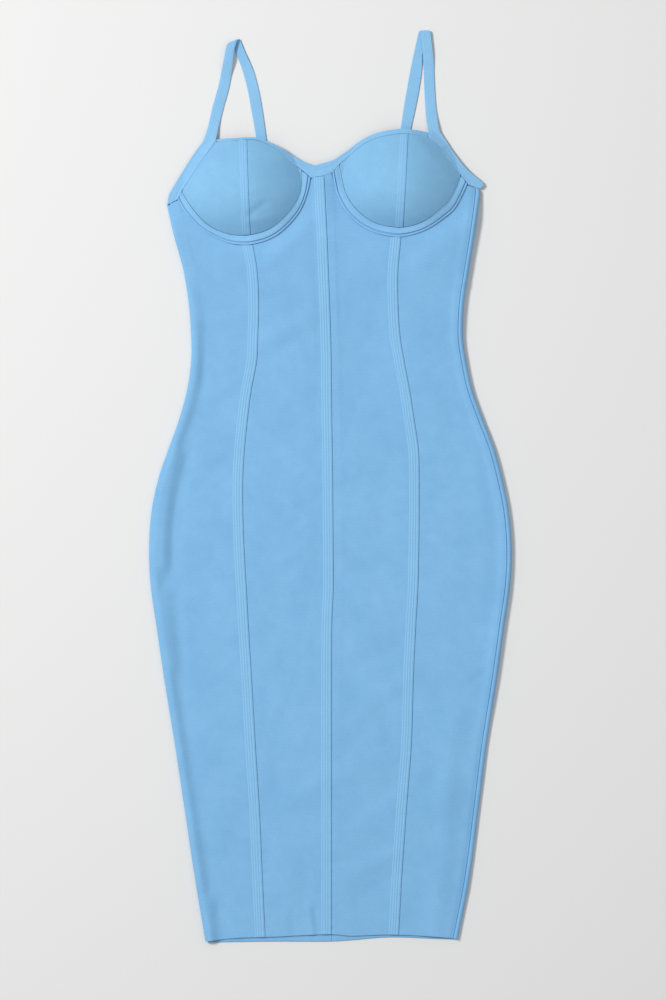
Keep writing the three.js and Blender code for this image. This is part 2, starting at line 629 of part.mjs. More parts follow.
addPiece("princess_tape_left", tape(panels.front_side_left), TAPE_WALL, BAND_BLUE);
addPiece("centre_tape", tape(panels.front_centre_left), TAPE_WALL, BAND_BLUE);
addPiece("princess_tape_right", tape(panels.front_centre_right), TAPE_WALL, BAND_BLUE);
addPiece("cup_tape_left", tape(cups.cup_left_outer), TAPE_WALL, BAND_BLUE);
addPiece("cup_tape_right", tape(cups.cup_right_inner), TAPE_WALL, BAND_BLUE);

addPiece("casing_left", casing(LEFT_CUP), CASING_WALL, BAND_BLUE);
addPiece("casing_right", casing(RIGHT_CUP), CASING_WALL, BAND_BLUE);
addPiece("neck_band", neckBand(), BAND_WALL, BAND_BLUE);
addPiece("back_band", backBand(), BAND_WALL, BAND_BLUE);
const besideLeftArm = LEFT_CUP.stations.slice(0, LEFT_CUP.cornerStation);
const besideRightArm = RIGHT_CUP.stations.slice(RIGHT_CUP.cornerStation + 1);
addPiece("armhole_band_left", armholeBand(besideLeftArm, LEFT_BAND_ENDS, true), BAND_WALL, BAND_BLUE);
addPiece("armhole_band_right", armholeBand(besideRightArm, RIGHT_BAND_ENDS, false), BAND_WALL, BAND_BLUE);
addPiece("strap_left", strap(LEFT_STRAP), STRAP_WALL, BAND_BLUE);
addPiece("strap_right", strap(RIGHT_STRAP), STRAP_WALL, BAND_BLUE);

export default dress;
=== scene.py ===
"""A midi bodycon dress in a ribbed bandage knit, laid flat with its front up.

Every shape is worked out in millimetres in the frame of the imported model, and goes into its mesh in metres:
+X to the wearer's left, +Y from the hem to the straps, +Z up from the surface that the dress lies on.
"""

import logging
import math
from dataclasses import dataclass
from enum import Enum
from functools import reduce

import bpy
import numpy as np
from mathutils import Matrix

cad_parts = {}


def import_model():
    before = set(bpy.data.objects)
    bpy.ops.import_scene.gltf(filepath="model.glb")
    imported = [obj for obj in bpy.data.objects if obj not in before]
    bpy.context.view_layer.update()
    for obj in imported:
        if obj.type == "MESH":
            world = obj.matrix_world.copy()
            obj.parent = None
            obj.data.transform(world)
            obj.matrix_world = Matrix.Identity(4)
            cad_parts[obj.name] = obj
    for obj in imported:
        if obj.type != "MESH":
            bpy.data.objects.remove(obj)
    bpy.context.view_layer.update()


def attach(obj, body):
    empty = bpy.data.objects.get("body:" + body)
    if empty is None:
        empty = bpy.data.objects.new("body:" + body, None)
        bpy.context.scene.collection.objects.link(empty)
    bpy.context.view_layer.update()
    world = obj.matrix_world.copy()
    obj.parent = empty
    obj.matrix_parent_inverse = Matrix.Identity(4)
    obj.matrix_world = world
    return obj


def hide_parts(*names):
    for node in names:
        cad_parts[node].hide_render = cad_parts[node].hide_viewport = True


Array = np.ndarray
Colour = tuple[float, float, float]
Point = tuple[float, float]
Socket = bpy.types.NodeSocket

METRES = 0.001
TINY = 1e-9
RIM_SHARE = 0.8
LIGHT_PACKING = 0.6
UNDER_BAND_GAP = 0.15
CREASE_END_REACH = 1.5
UV_NAME = "Cloth"
HEM_LEVEL = -545.0
BUST_LEVEL = 300.0
log = logging.getLogger("dress")


class Slot(Enum):
    """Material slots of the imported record."""

    BODY = "body_knit"
    CUP = "cup_knit"
    TAPE = "tape_knit"
    BAND = "band_knit"
    STRAP = "strap_knit"


class Held(Enum):
    """How a sheet of cloth is held."""

    LAID = "laid"
    FOLDED = "folded"


class Edge(Enum):
    """Lines along a wire: its casing's edges on the body and the cup, the cup's top, its band's rim."""

    OUT = "out"
    IN = "in"
    TOP = "top"
    RIM = "rim"


def smooth(low: float, high: float, value: Array) -> Array:
    """Share from 0 to 1 between two values, as 3t squared less 2t cubed."""
    t = np.clip((value - low) / (high - low), 0, 1)
    return t * t * (3 - 2 * t)


def bell(distance: Array, width: float) -> Array:
    """Bell curve, e to the power of minus the square of distance over width."""
    return np.exp(-((distance / width) ** 2))


def arch(across: Array) -> Array:
    """Flat arch over a strip's width: the root of 1 - (2s - 1) to the fourth, with s the share across."""
    return np.maximum(1 - (2 * across - 1) ** 4, 0) ** 0.5


def blend(start: Array, end: Array, share: Array) -> Array:
    """Value a share of the way from start to end."""
    return start + (end - start) * share


def end_packed(count: int, packing: float = 0.75) -> Array:
    """Shares that crowd towards 0 and 1: t less packing times sin(2 pi t) / (2 pi), with t in even steps."""
    t = np.linspace(0, 1, count)
    return t - packing * np.sin(2 * np.pi * t) / (2 * np.pi)


def levels(low: Array, top: Array, rows: int) -> Array:
    """Levels of a grid, each column from its low end to its top, closer together at both ends."""
    return blend(low, top, end_packed(rows, 0.5)[:, None])


def stacked(x: Array, y: Array, z: Array) -> Array:
    """Points from their coordinates."""
    return np.stack(np.broadcast_arrays(x, y, z), axis=-1)


def hermite(keys: Array, values: Array, place: Array) -> Array:
    """Cubic through points, with the slope at each from its two neighbours.

    Args:
        keys: Rising places of the points, one for each row of values.
        values: Values there, one column or several.
        place: Places to read, kept between the first key and the last.

    Returns:
        Values at the places, with the shape of place and then that of one row of values.
    """
    last = len(keys) - 1
    low, high = np.maximum(np.arange(last + 1) - 1, 0), np.minimum(np.arange(last + 1) + 1, last)
    wide = (slice(None),) + (None,) * (values.ndim - 1)
    slopes = (values[high] - values[low]) / (keys[high] - keys[low])[wide]
    place = np.clip(place, keys[0], keys[-1])
    i = np.clip(np.searchsorted(keys, place, side="right") - 1, 0, last - 1)
    span = keys[i + 1] - keys[i]
    t = (place - keys[i]) / span
    t, span = (part.reshape(part.shape + (1,) * (values.ndim - 1)) for part in (t, span))
    return (
        (2 * t**3 - 3 * t**2 + 1) * values[i]
        + (t**3 - 2 * t**2 + t) * span * slopes[i]
        + (3 * t**2 - 2 * t**3) * values[i + 1]
        + (t**3 - t**2) * span * slopes[i + 1]
    )


def spline(points: Array, place: Array) -> Array:
    """Points along a line of control points, by their number."""
    return hermite(np.arange(len(points), dtype=float), points, place)


def unit(vectors: Array) -> Array:
    """Vectors scaled to length 1."""
    return vectors / np.maximum(np.linalg.norm(vectors, axis=-1, keepdims=True), TINY)


def beside(points: Array, place: Array, distance: float, step: float = 0.05) -> Array:
    """Points along a line, moved to its upper left: the tangent turned a quarter turn, times the distance."""
    tangent = unit(spline(points, place + step) - spline(points, place - step))
    return spline(points, place) + distance * np.stack([-tangent[..., 1], tangent[..., 0]], axis=-1)


@dataclass(frozen=True)
class Table:
    """Named columns of numbers. The first column is the key that the others are read along."""

    names: tuple[str, ...]
    rows: tuple[tuple[float, ...], ...]

    def columns(self, *names: str) -> Array:
        """Some columns, side by side."""
        return np.array(self.rows, dtype=float)[:, [self.names.index(name) for name in names]]

    def at(self, name: str, place: Array) -> Array:
        """Values of a column at places along the key."""
        return hermite(*self.columns(self.names[0], name).T, np.asarray(place, dtype=float))

    def edge(self, edge: Edge) -> Array:
        """Points of one of a wire's edges, a row for each station."""
        return self.columns(edge.value + "X", edge.value + "Y")


# Outline and seams, a row for each level from hem to underarm.
SECTIONS = Table(
    ("y", "left", "princess_left", "centre", "princess_right", "right"),
    (
        (-545, -149.5, -77.5, 1.8, 82, 153),
        (-470, -162, -81, 1.8, 86, 167.5),
        (-390, -174, -84.5, 1.8, 91.5, 178),
        (-310, -186, -89.5, 1.8, 97.5, 188),
        (-230, -199, -94, 1.8, 100, 200.5),
        (-165, -208.5, -98, 2.2, 103, 209.5),
        (-120, -215, -100.5, 4, 105.5, 216),
        (-75, -217, -103, 3.8, 106.5, 218),
        (-30, -214, -104.5, 3.5, 107, 214.5),
        (10, -205.5, -104.5, 3.2, 107, 206.5),
        (45, -193.5, -102.5, 2.8, 106, 197),
        (80, -181, -99, 2.2, 101, 183.5),
        (115, -171.5, -94.5, 1.8, 95.5, 171),
        (150, -166.5, -88, 1.6, 89, 163.5),
        (180, -166.5, -86.5, 0.8, 84, 159.5),
        (220, -169.5, -85.5, -0.4, 81.5, 161),
        (260, -176, -87.5, -2, 81.5, 167),
        (300, -187, -94, -3.6, 85, 173.5),
        (340, -196, -95, -5.6, 85.5, 179),
        (375, -202, -95, -7.3, 85.5, 183),
    ),
)
HEM = Table(
    ("x", "front", "back"),
    (
        (-160, -547, -547.5),
        (-110, -542, -546.5),
        (-65, -540.5, -546),
        (0, -537.5, -546),
        (25, -539.5, -544.5),
        (70, -538, -541),
        (120, -540, -542.5),
        (160, -543.5, -544),
    ),
)
BACK_TOP = Table(("x", "y"), ((-190, 334), (-100, 324), (0, 320), (100, 330), (180, 356)))
BAND_NAMES = ("topX", "topY", "rimX", "rimY")
STATION_NAMES = ("outX", "outY", "inX", "inY") + BAND_NAMES
LEFT_STATIONS = Table(
    STATION_NAMES,
    (
        (-181.5, 343.5, -177.5, 353, -175.8, 356.8, -186.5, 361.5),
        (-173, 328.5, -168.5, 338, -166, 372, -176.5, 378),
        (-157.5, 312, -154, 320, -155, 389, -165.5, 395.5),
        (-141, 300.5, -138.5, 308.5, -144.5, 403, -157, 407.5),
        (-122.5, 292, -121, 302, -135.5, 412.8, -136.5, 416),
        (-107, 289.3, -105.5, 300.3, -109, 414.3, -109, 417.5),
        (-94, 290, -95.5, 301, -99.5, 414.9, -99.5, 418),
        (-77, 294.5, -78, 305.5, -86, 414, -86, 417.2),
        (-61.5, 303, -63, 314.5, -73, 408.3, -72, 412),
        (-46.5, 317, -49, 328.5, -60, 400.7, -58.5, 405.6),
        (-35.5, 332, -39.5, 343, -49.5, 390.6, -46, 397.6),
        (-27.5, 351, -34.5, 358, -41.5, 384.2, -36, 391.4),
        (-23, 368.8, -33.7, 375.5, -34.2, 379.2, -26, 387.2),
    ),
)
RIGHT_STATIONS = Table(
    STATION_NAMES,
    (
        (2.3, 374.2, 11.5, 383.5, 12.5, 386.8, 8.9, 394.1),
        (5.5, 360, 15, 366, 18, 391.2, 14.5, 398.2),
        (10, 346, 19, 351, 25.5, 398, 22.7, 403.7),
        (20, 328.5, 28, 336, 34, 405.6, 33.5, 412.1),
        (35.5, 313.5, 42, 322.5, 45, 412.4, 44, 418.6),
        (53.5, 304, 58, 314, 60, 418.3, 60, 424.6),
        (73, 299.5, 77.5, 310.3, 83.5, 422.2, 84.2, 428.5),
        (85, 299, 87.5, 310, 93.4, 422, 94, 428),
        (102.5, 302.9, 102, 313, 106, 420.3, 107, 426.3),
        (118, 309.4, 115.5, 319, 117.3, 418, 118.2, 424.3),
        (133.7, 319.9, 129.5, 329.5, 128, 409.8, 137.5, 417),
        (148, 331.8, 141.5, 340.5, 138.5, 396.5, 147.5, 402.3),
        (157, 347, 149.5, 354, 148.5, 383.5, 158.5, 387.2),
        (163.8, 361.3, 156.3, 370, 156, 374, 168.5, 376.6),
    ),
)
# Ends of the bands past the stations, and the neck band between the cups.
GORE = Table(
    BAND_NAMES,
    ((-22.8, 369.7, -17.3, 384.9), (-19, 370.3, -13, 386), (-7.3, 372, -5.5, 388.3), (2.6, 376, 1.5, 390.2)),
)
LEFT_STRAP_END = Table(BAND_NAMES, ((-136, 413.2, -154, 411.5), (-137, 415.4, -151.7, 414.9)))
LEFT_UNDERARM = Table(BAND_NAMES, ((-182.6, 343.9, -195.4, 337), (-180.4, 347.8, -193, 349.5)))
RIGHT_STRAP_END = Table(BAND_NAMES, ((118.8, 425, 131.4, 427.2), (118, 418.4, 134.5, 421.5)))
RIGHT_UNDERARM = Table(BAND_NAMES, ((161.6, 366.6, 184, 363), (165.3, 361.6, 180.6, 356.4)))


def under_band(end: tuple[float, ...], inset: Array | float) -> Array | float:
    """Level just under an armhole band's end, at a distance in from the side's edge."""
    top_x, top_y, rim_x, rim_y = end
    return rim_y + (top_y - rim_y) / abs(top_x - rim_x) * inset - UNDER_BAND_GAP


@dataclass(frozen=True)
class Crease:
    """A soft trough in the cloth from one point to another, or a ridge where its depth is below 0."""

    start_x: float
    start_y: float
    end_x: float
    end_y: float
    depth: float
    width: float
    bow: float = 0.0

    def fall(self, x: Array, y: Array) -> Array:
        """How far the crease lowers the cloth.

        The depth times a bell across the line, times a bell along what lies past its ends. The line bows
        sideways by four times bow times t(1 - t), with t the share along it.

        Args:
            x: Places on the cloth.
            y: Places on the cloth.

        Returns:
            Millimetres down, above 0 in a trough.
        """
        run_x, run_y = self.end_x - self.start_x, self.end_y - self.start_y
        length = math.hypot(run_x, run_y)
        from_x, from_y = x - self.start_x, y - self.start_y
        t = (from_x * run_x + from_y * run_y) / length**2
        inside = np.clip(t, 0, 1)
        across = (from_x * run_y - from_y * run_x) / length - 4 * self.bow * inside * (1 - inside)
        past = np.abs(t - inside) * length
        return self.depth * bell(across, self.width) * bell(past, CREASE_END_REACH * self.width)


# Creases of the front as the photograph shows them, uneven in length, depth and spacing. Each has x and y of
# its start, x and y of its end, its depth, its width and its bow.
FRONT_CREASES = (
    (-184, 34, -200, -94, -3.8, 8.5, 5.5),
    (-170, 32, -187, -92, 1.3, 7, 5),
    (-198, -134, -188, -212, -1.8, 7.5),
    (-184, -136, -177, -215, 0.9, 7),
    (-178, -248, -168, -344, 0.5, 9),
    (-153, -385, -134, -500, 0.5, 12),
    (-130, -506, -124, -548, 0.75, 7.5),
    (-143, -500, -141, -550, -1.5, 7),
    (-153, 178, -152, 126, 0.7, 6),
    (-164, 197, -112, 201, -0.8, 9),
    (-157, 98, -124, 118, -0.7, 9),
    (-143, 78, -114, 40, 0.45, 10),
    (-132, 22, -112, 38, 0.5, 7),
    (-114, 237, -105, 226, 0.6, 6),
    (-80, 174, -20, 206, -0.9, 10),
    (-80, 152, -38, 177, 0.6, 9),
    (-80, 222, -58, 232, 0.5, 8),
    (-52, -104, -20, -90, 0.45, 8),
    (-70, -183, -12, -140, 0.5, 10),
    (-58, -282, -47, -254, 0.4, 5),
    (-136, -311, -108, -305, 0.35, 3),
    (-66, -318, -60, -388, 0.5, 12),
    (-42, -374, -12, -355, -0.8, 10),
    (-30, -466, -24, -516, 0.45, 9),
    (-18, -510, -14, -538, 0.75, 3.2),
    (-25, -506, -21, -542, -1.0, 4),
    (-46, -518, -43, -542, 0.6, 4),
    (8, -107, 88, -87, 0.6, 11),
    (62, 2, 76, -66, 0.5, 16),
    (20, -218, 88, -190, 0.55, 12),
    (28, -282, 80, -238, -0.9, 12),
    (66, -262, 74, -302, 0.5, 9),
    (34, -390, 84, -350, 0.75, 11),
    (26, -342, 70, -322, -0.7, 12),
    (14, -448, 42, -436, 0.5, 10),
    (34, -462, 74, -440, -0.8, 9),
    (38, -492, 76, -466, 0.6, 9),
    (118, -138, 128, -192, 0.45, 14),
    (170, -234, 186, -224, 0.8, 3.6),
    (176, 22, 190, -122, -0.8, 13),
    (108, -366, 136, -334, 0.55, 10),
    (118, -394, 166, -350, -0.8, 14),
    (148, -432, 160, -480, -0.6, 10),
    (149, -280, 126, -545, -1.7, 13),
    (176, 332, 158, 205, -1.0, 11),
    (110, 270, 170, 316, -1.5, 13),
    (-70, 272, -26, 314, -1.3, 11),
    (-7, 366, -5, 300, -1.1, 8),
    (158.6, 243, 161.8, 242, -1.5, 2.2),
    (-93, 327, -81, 335, 1.3, 4.5),
    (-86, 318, -70, 322, -0.7, 5),
)
# Creases of the hidden back, of the same kinds.
BACK_CREASES = (
    (-160, -420, -120, -380, 0.5, 10),
    (-90, -300, -62, -372, 0.45, 12),
    (-150, -180, -176, -90, 0.5, 8, 4),
    (-60, -120, -14, -86, 0.4, 9),
    (-130, 120, -92, 176, 0.5, 9),
    (-40, 210, -12, 280, 0.35, 11),
    (40, -470, 88, -432, 0.5, 10),
    (92, -330, 150, -300, 0.55, 12),
    (30, -210, 70, -178, 0.4, 8),
    (120, -60, 168, -108, 0.5, 11),
    (60, 90, 112, 60, 0.45, 10),
    (110, 230, 84, 298, 0.4, 9),
)


def creased(rows: tuple[tuple[float, ...], ...], x: Array, y: Array) -> Array:
    """How far all the creases of a table lower the cloth."""
    return sum(Crease(*row).fall(x, y) for row in rows)


@dataclass(frozen=True)
class CupShape:
    """One moulded cup: the x of its seam, the y of its fullest level and how far it reaches each way."""

    x: float
    y: float
    left: float
    right: float
    down: float
    up: float

    def place(self, x: Array, y: Array) -> tuple[Array, Array]:
        """Place across and up or down from the fullest point, each 1 at the cup's reach."""
        across = (x - self.x) / np.where(x < self.x, self.left, self.right)
        return across, (y - self.y) / np.where(y < self.y, self.down, self.up)

    def share(self, x: Array, y: Array, crown: float, fullness: float) -> Array:
        """Share of the cup's rise: 1 less |across| to the crown and less up squared, all to the fullness."""
        across, up = self.place(x, y)
        return np.maximum(1 - np.abs(across) ** crown - up**2, 0) ** fullness


@dataclass(frozen=True)
class Armhole:
    """An armhole's line from the strap to the underarm. inward is 1 where the dress lies to its right."""

    start: Point
    end: Point
    inward: int

    def inside(self, x: Array, y: Array) -> Array:
        """Distance of places inside the line.

        Args:
            x: Places on the cloth.
            y: Places on the cloth.

        Returns:
            The distance, below 0 outside.
        """
        run_x, run_y = self.end[0] - self.start[0], self.end[1] - self.start[1]
        cross = run_x * (y - self.start[1]) - run_y * (x - self.start[0])
        return self.inward * cross / math.hypot(run_x, run_y)


@dataclass(frozen=True)
class DressForm:
    """Heights of the whole dress as it lies: one function for the front, one for the back.

    A pair of numbers is where something starts and where it is complete.
    """

    flat_top: float = 3.9
    lowest_front: float = 3.2
    bust_base: float = 10.0
    bust: Point = (150, 295)
    neck_fall: float = 4.0
    neck: Point = (375, 425)
    cup_rise: float = 28.0
    cup_crown: float = 1.8
    cup_fullness: float = 1.04
    wire_dip: float = 2.0
    dip_below: float = 12.0
    dip_above: float = 20.0
    dip_ring: float = 1.08
    dip_width: float = 0.22
    edge_roll: float = 4.0
    puff: float = 3.6
    puff_inset: float = 6.0
    puff_width: float = 7.5
    puff_loss: float = 0.8
    puff_levels: Point = (-210, -320)
    puff_right: Point = (0, 10)
    piping: float = 1.7
    piping_inset: float = 3.2
    piping_width: float = 1.6
    arm_drop: float = 0.45
    arm_reach: float = 30.0
    pucker: float = 0.16
    pucker_reach: float = 6.0
    wave: float = 0.28
    loose: Point = (8, 40)
    cups: tuple[CupShape, ...] = (CupShape(-97, 352, 80, 64, 53, 78), CupShape(90, 361, 76, 66, 53, 78))
    armholes: tuple[Armhole, ...] = (
        Armhole((-151.7, 414.9), (-195.4, 343.5), 1),
        Armhole((131.4, 427), (184.3, 362), -1),
    )

    def puckers(self, x: Array, y: Array) -> Array:
        """Small uneven ripples beside the front's seams: two sine waves in y under a bell round each seam."""
        ripple = np.sin(y / 1.9 + 2 * np.sin(y / 31)) + 0.7 * np.sin(y / 3.1 + 1.3 * np.sin(y / 17))
        return self.pucker * ripple * sum(
            bell(x - SECTIONS.at(seam, y), self.pucker_reach)
            for seam in ("princess_left", "centre", "princess_right")
        )

    def waves(self, x: Array, y: Array) -> Array:
        """Slow uneven swell of cloth that lies loose: products of sines of different lengths."""
        first = np.sin(x / 23 + 0.6 * np.sin(y / 41)) * np.sin(y / 37 + x / 61)
        return self.wave * (first + 0.55 * (np.sin(x / 14 - y / 29 + 1.1) * np.sin(y / 19 + 0.4)))

    def front(self, x: Array, y: Array) -> Array:
        """Height of the front's outer face.

        A flat level that climbs to the wires, puffed along both sides, less the fall of the creases, plus the
        rise of each cup, and all sinking towards the armholes.

        Args:
            x: Places on the cloth.
            y: Places on the cloth.

        Returns:
            Heights over the surface that the dress lies on.
        """
        bust = smooth(*self.bust, y)
        from_right = SECTIONS.at("right", y) - x
        from_side = np.minimum(x - SECTIONS.at("left", y), from_right)
        puff = self.puff * bell(from_side - self.puff_inset, self.puff_width)
        puff = puff * (1 - self.puff_loss * smooth(*self.puff_levels, y) * smooth(*self.puff_right, x))
        puff = puff + self.piping * bell(from_right - self.piping_inset, self.piping_width)
        neck = self.neck_fall * smooth(*self.neck, y)
        height = self.flat_top + (self.bust_base - self.flat_top) * bust - neck + (1 - bust) * puff
        height = height + self.waves(x, y) * smooth(*self.loose, from_side) + self.puckers(x, y)
        height = height - creased(FRONT_CREASES, x, y)
        for cup in self.cups:
            below = 1 - smooth(cup.y - self.dip_below, cup.y + self.dip_above, y)
            ring = np.hypot(*cup.place(x, y))
            height = height - self.wire_dip * below * bell(ring - self.dip_ring, self.dip_width)
        height = np.maximum(height, self.lowest_front)
        for cup in self.cups:
            height = height + self.cup_rise * cup.share(x, y, self.cup_crown, self.cup_fullness)
        for armhole in self.armholes:
            sink = self.arm_drop * bust * (1 - smooth(0, self.arm_reach, armhole.inside(x, y)))
            height = height * (1 - sink)
        return height

    def on_front(self, x: Array, y: Array) -> Array:
        """Points on the front's outer face."""
        return stacked(x, y, self.front(x, y))

    def on_back(self, x: Array, y: Array) -> Array:
        """Points on the face that lies underneath: at 0, lifted a little in each crease."""
        return stacked(x, y, creased(BACK_CREASES, x, y))

    def on_roll(self, side: int, turn: Array, y: Array) -> Array:
        """Points on a side that rolls under: half an ellipse from the front to the surface.

        Args:
            side: -1 at the left edge, 1 at the right.
            turn: From -1, underneath, to 1, on the front.
            y: Levels.

        Returns:
            The points.
        """
        angle = turn * np.pi / 2
        edge = SECTIONS.at("left" if side < 0 else "right", y)
        height = self.front(edge - side * self.edge_roll, y)
        inset = side * self.edge_roll * (1 - np.cos(angle))
        return stacked(edge - inset, y, height / 2 * (1 + np.sin(angle)))


FORM = DressForm()


def normals(grid: Array) -> Array:
    """Unit normals of a grid: the cross product of its column and row directions."""
    return unit(np.cross(np.gradient(grid, axis=1), np.gradient(grid, axis=0)))


def lifted(grid: Array, distance: Array | float) -> Array:
    """The grid moved along its normals."""
    return grid + normals(grid) * np.broadcast_to(distance, grid.shape[:2])[..., None]


def arc_lengths(grid: Array, axis: int) -> Array:
    """Distance along a grid's lines from where they start."""
    steps = np.linalg.norm(np.diff(grid, axis=axis), axis=-1)
    return np.cumsum(np.pad(steps, [(1, 0) if k == axis else (0, 0) for k in range(2)]), axis=axis)


def rim_lines(fields: Array, low: float, high: float, steps: int) -> tuple[Array, Array]:
    """Split the first and last rows of a grid into lines that stand as the points of a quarter circle do.

    A line stands in from the border by the rim's depth times 1 - sin(a), with a a right angle at the border.

    Args:
        fields: Grid whose first three channels are points.
        low: Depth of the rim in from the first row.
        high: Depth of the rim in from the last row.
        steps: Steps of the quarter circle.

    Returns:
        The new grid, and a for each of its rows.
    """
    angles = np.linspace(0, np.pi / 2, steps + 1)
    ends = []
    for border, inner, depth in ((fields[0], fields[1], low), (fields[-1], fields[-2], high)):
        inward = inner - border
        length = np.linalg.norm(inward[..., :3], axis=-1, keepdims=True)
        reach = np.minimum(depth, RIM_SHARE * length) / np.maximum(length, TINY)
        ends.append(border + inward * reach * (1 - np.sin(angles))[:, None, None])
    turns = np.concatenate([angles[::-1], np.zeros(len(fields) - 2), angles])
    return np.concatenate([ends[0][::-1], fields[1:-1], ends[1]]), turns


@dataclass(frozen=True)
class Rims:
    """How deep a wall's rim is rounded along its first and last rows, and its first and last columns."""

    low: float = 0.6
    high: float = 0.6
    first: float = 0.6
    last: float = 0.6


@dataclass(frozen=True)
class Wall:
    """A closed wall of cloth under a grid of points, with a rounded rim.

    Rows run up and columns to the right, seen from outside. across_is_rows is set where the cloth's own width
    runs up the rows, as on a strip whose columns follow its length.
    """

    outer: Array
    thickness: Array | float
    rims: Rims = Rims()
    rim_steps: int = 3
    across_is_rows: bool = False

    def mesh(self, name: str) -> bpy.types.Mesh:
        """Mesh of the wall.

        The outer face sinks along its normals by half the thickness times 1 - cos(a) cos(b), with a and b the
        rim's turns up and across. The inner face mirrors it in the wall's middle, and shares its border.

        Args:
            name: Name of the mesh.

        Returns:
            The mesh, in metres, with a UV map of the cloth's width and length in metres.
        """
        thickness = np.broadcast_to(self.thickness, self.outer.shape[:2])
        uv = [arc_lengths(self.outer, axis) for axis in ((0, 1) if self.across_is_rows else (1, 0))]
        fields = np.concatenate([self.outer, np.stack([thickness, *uv], axis=-1)], axis=-1)
        rims, steps = self.rims, self.rim_steps
        fields, turn_up = rim_lines(fields, rims.low, rims.high, steps)
        fields, turn_across = rim_lines(fields.swapaxes(0, 1), rims.first, rims.last, steps)
        fields = fields.swapaxes(0, 1)
        points, half = fields[..., :3], fields[..., 3:4] / 2
        sink = half * (1 - np.cos(turn_up)[:, None, None] * np.cos(turn_across)[None, :, None])
        normal = normals(points)
        outside, inside = points - normal * sink, points - normal * (2 * half - sink)
        rows, columns = points.shape[:2]
        outer_index = np.arange(rows * columns).reshape(rows, columns)
        inner_index = outer_index.copy()
        hidden = np.arange((rows - 2) * (columns - 2)).reshape(rows - 2, columns - 2)
        inner_index[1:-1, 1:-1] = rows * columns + hidden
        vertices = np.concatenate([outside.reshape(-1, 3), inside[1:-1, 1:-1].reshape(-1, 3)])
        faces = np.concatenate([quads(outer_index), quads(inner_index)[:, ::-1]])
        flat = np.concatenate([fields[..., 4:6].reshape(-1, 2), fields[1:-1, 1:-1, 4:6].reshape(-1, 2)])
        return make_mesh(name, vertices, faces, flat)


def quads(index: Array) -> Array:
    """Faces between the neighbours of a grid of vertex numbers, facing the way that its normals do."""
    corners = (index[:-1, :-1], index[:-1, 1:], index[1:, 1:], index[1:, :-1])
    return np.stack([corner.ravel() for corner in corners], axis=1)


def make_mesh(name: str, vertices: Array, faces: Array, uv: Array) -> bpy.types.Mesh:
    """Smooth mesh from arrays.

    Args:
        name: Name of the mesh.
        vertices: Points, in millimetres.
        faces: Four vertex numbers for each face.
        uv: Place of each vertex on the flat cloth, in millimetres.

    Returns:
        The mesh, in metres.
    """
    mesh = bpy.data.meshes.new(name)
    mesh.from_pydata((vertices * METRES).tolist(), [], faces.tolist())
    mesh.polygons.foreach_set("use_smooth", np.ones(len(faces), dtype=bool))
    layer = mesh.uv_layers.new(name=UV_NAME)
    layer.data.foreach_set("uv", (uv[faces.ravel()] * METRES).astype(np.float32).ravel())
    mesh.update()
    return mesh


def add_object(name: str, data: bpy.types.ID) -> bpy.types.Object:
    """Put an object in the scene.

    Args:
        name: Its name.
        data: Its mesh, lamp or lens.

    Returns:
        The new object.
    """
    added = bpy.data.objects.new(name, data)
    bpy.context.scene.collection.objects.link(added)
    return added


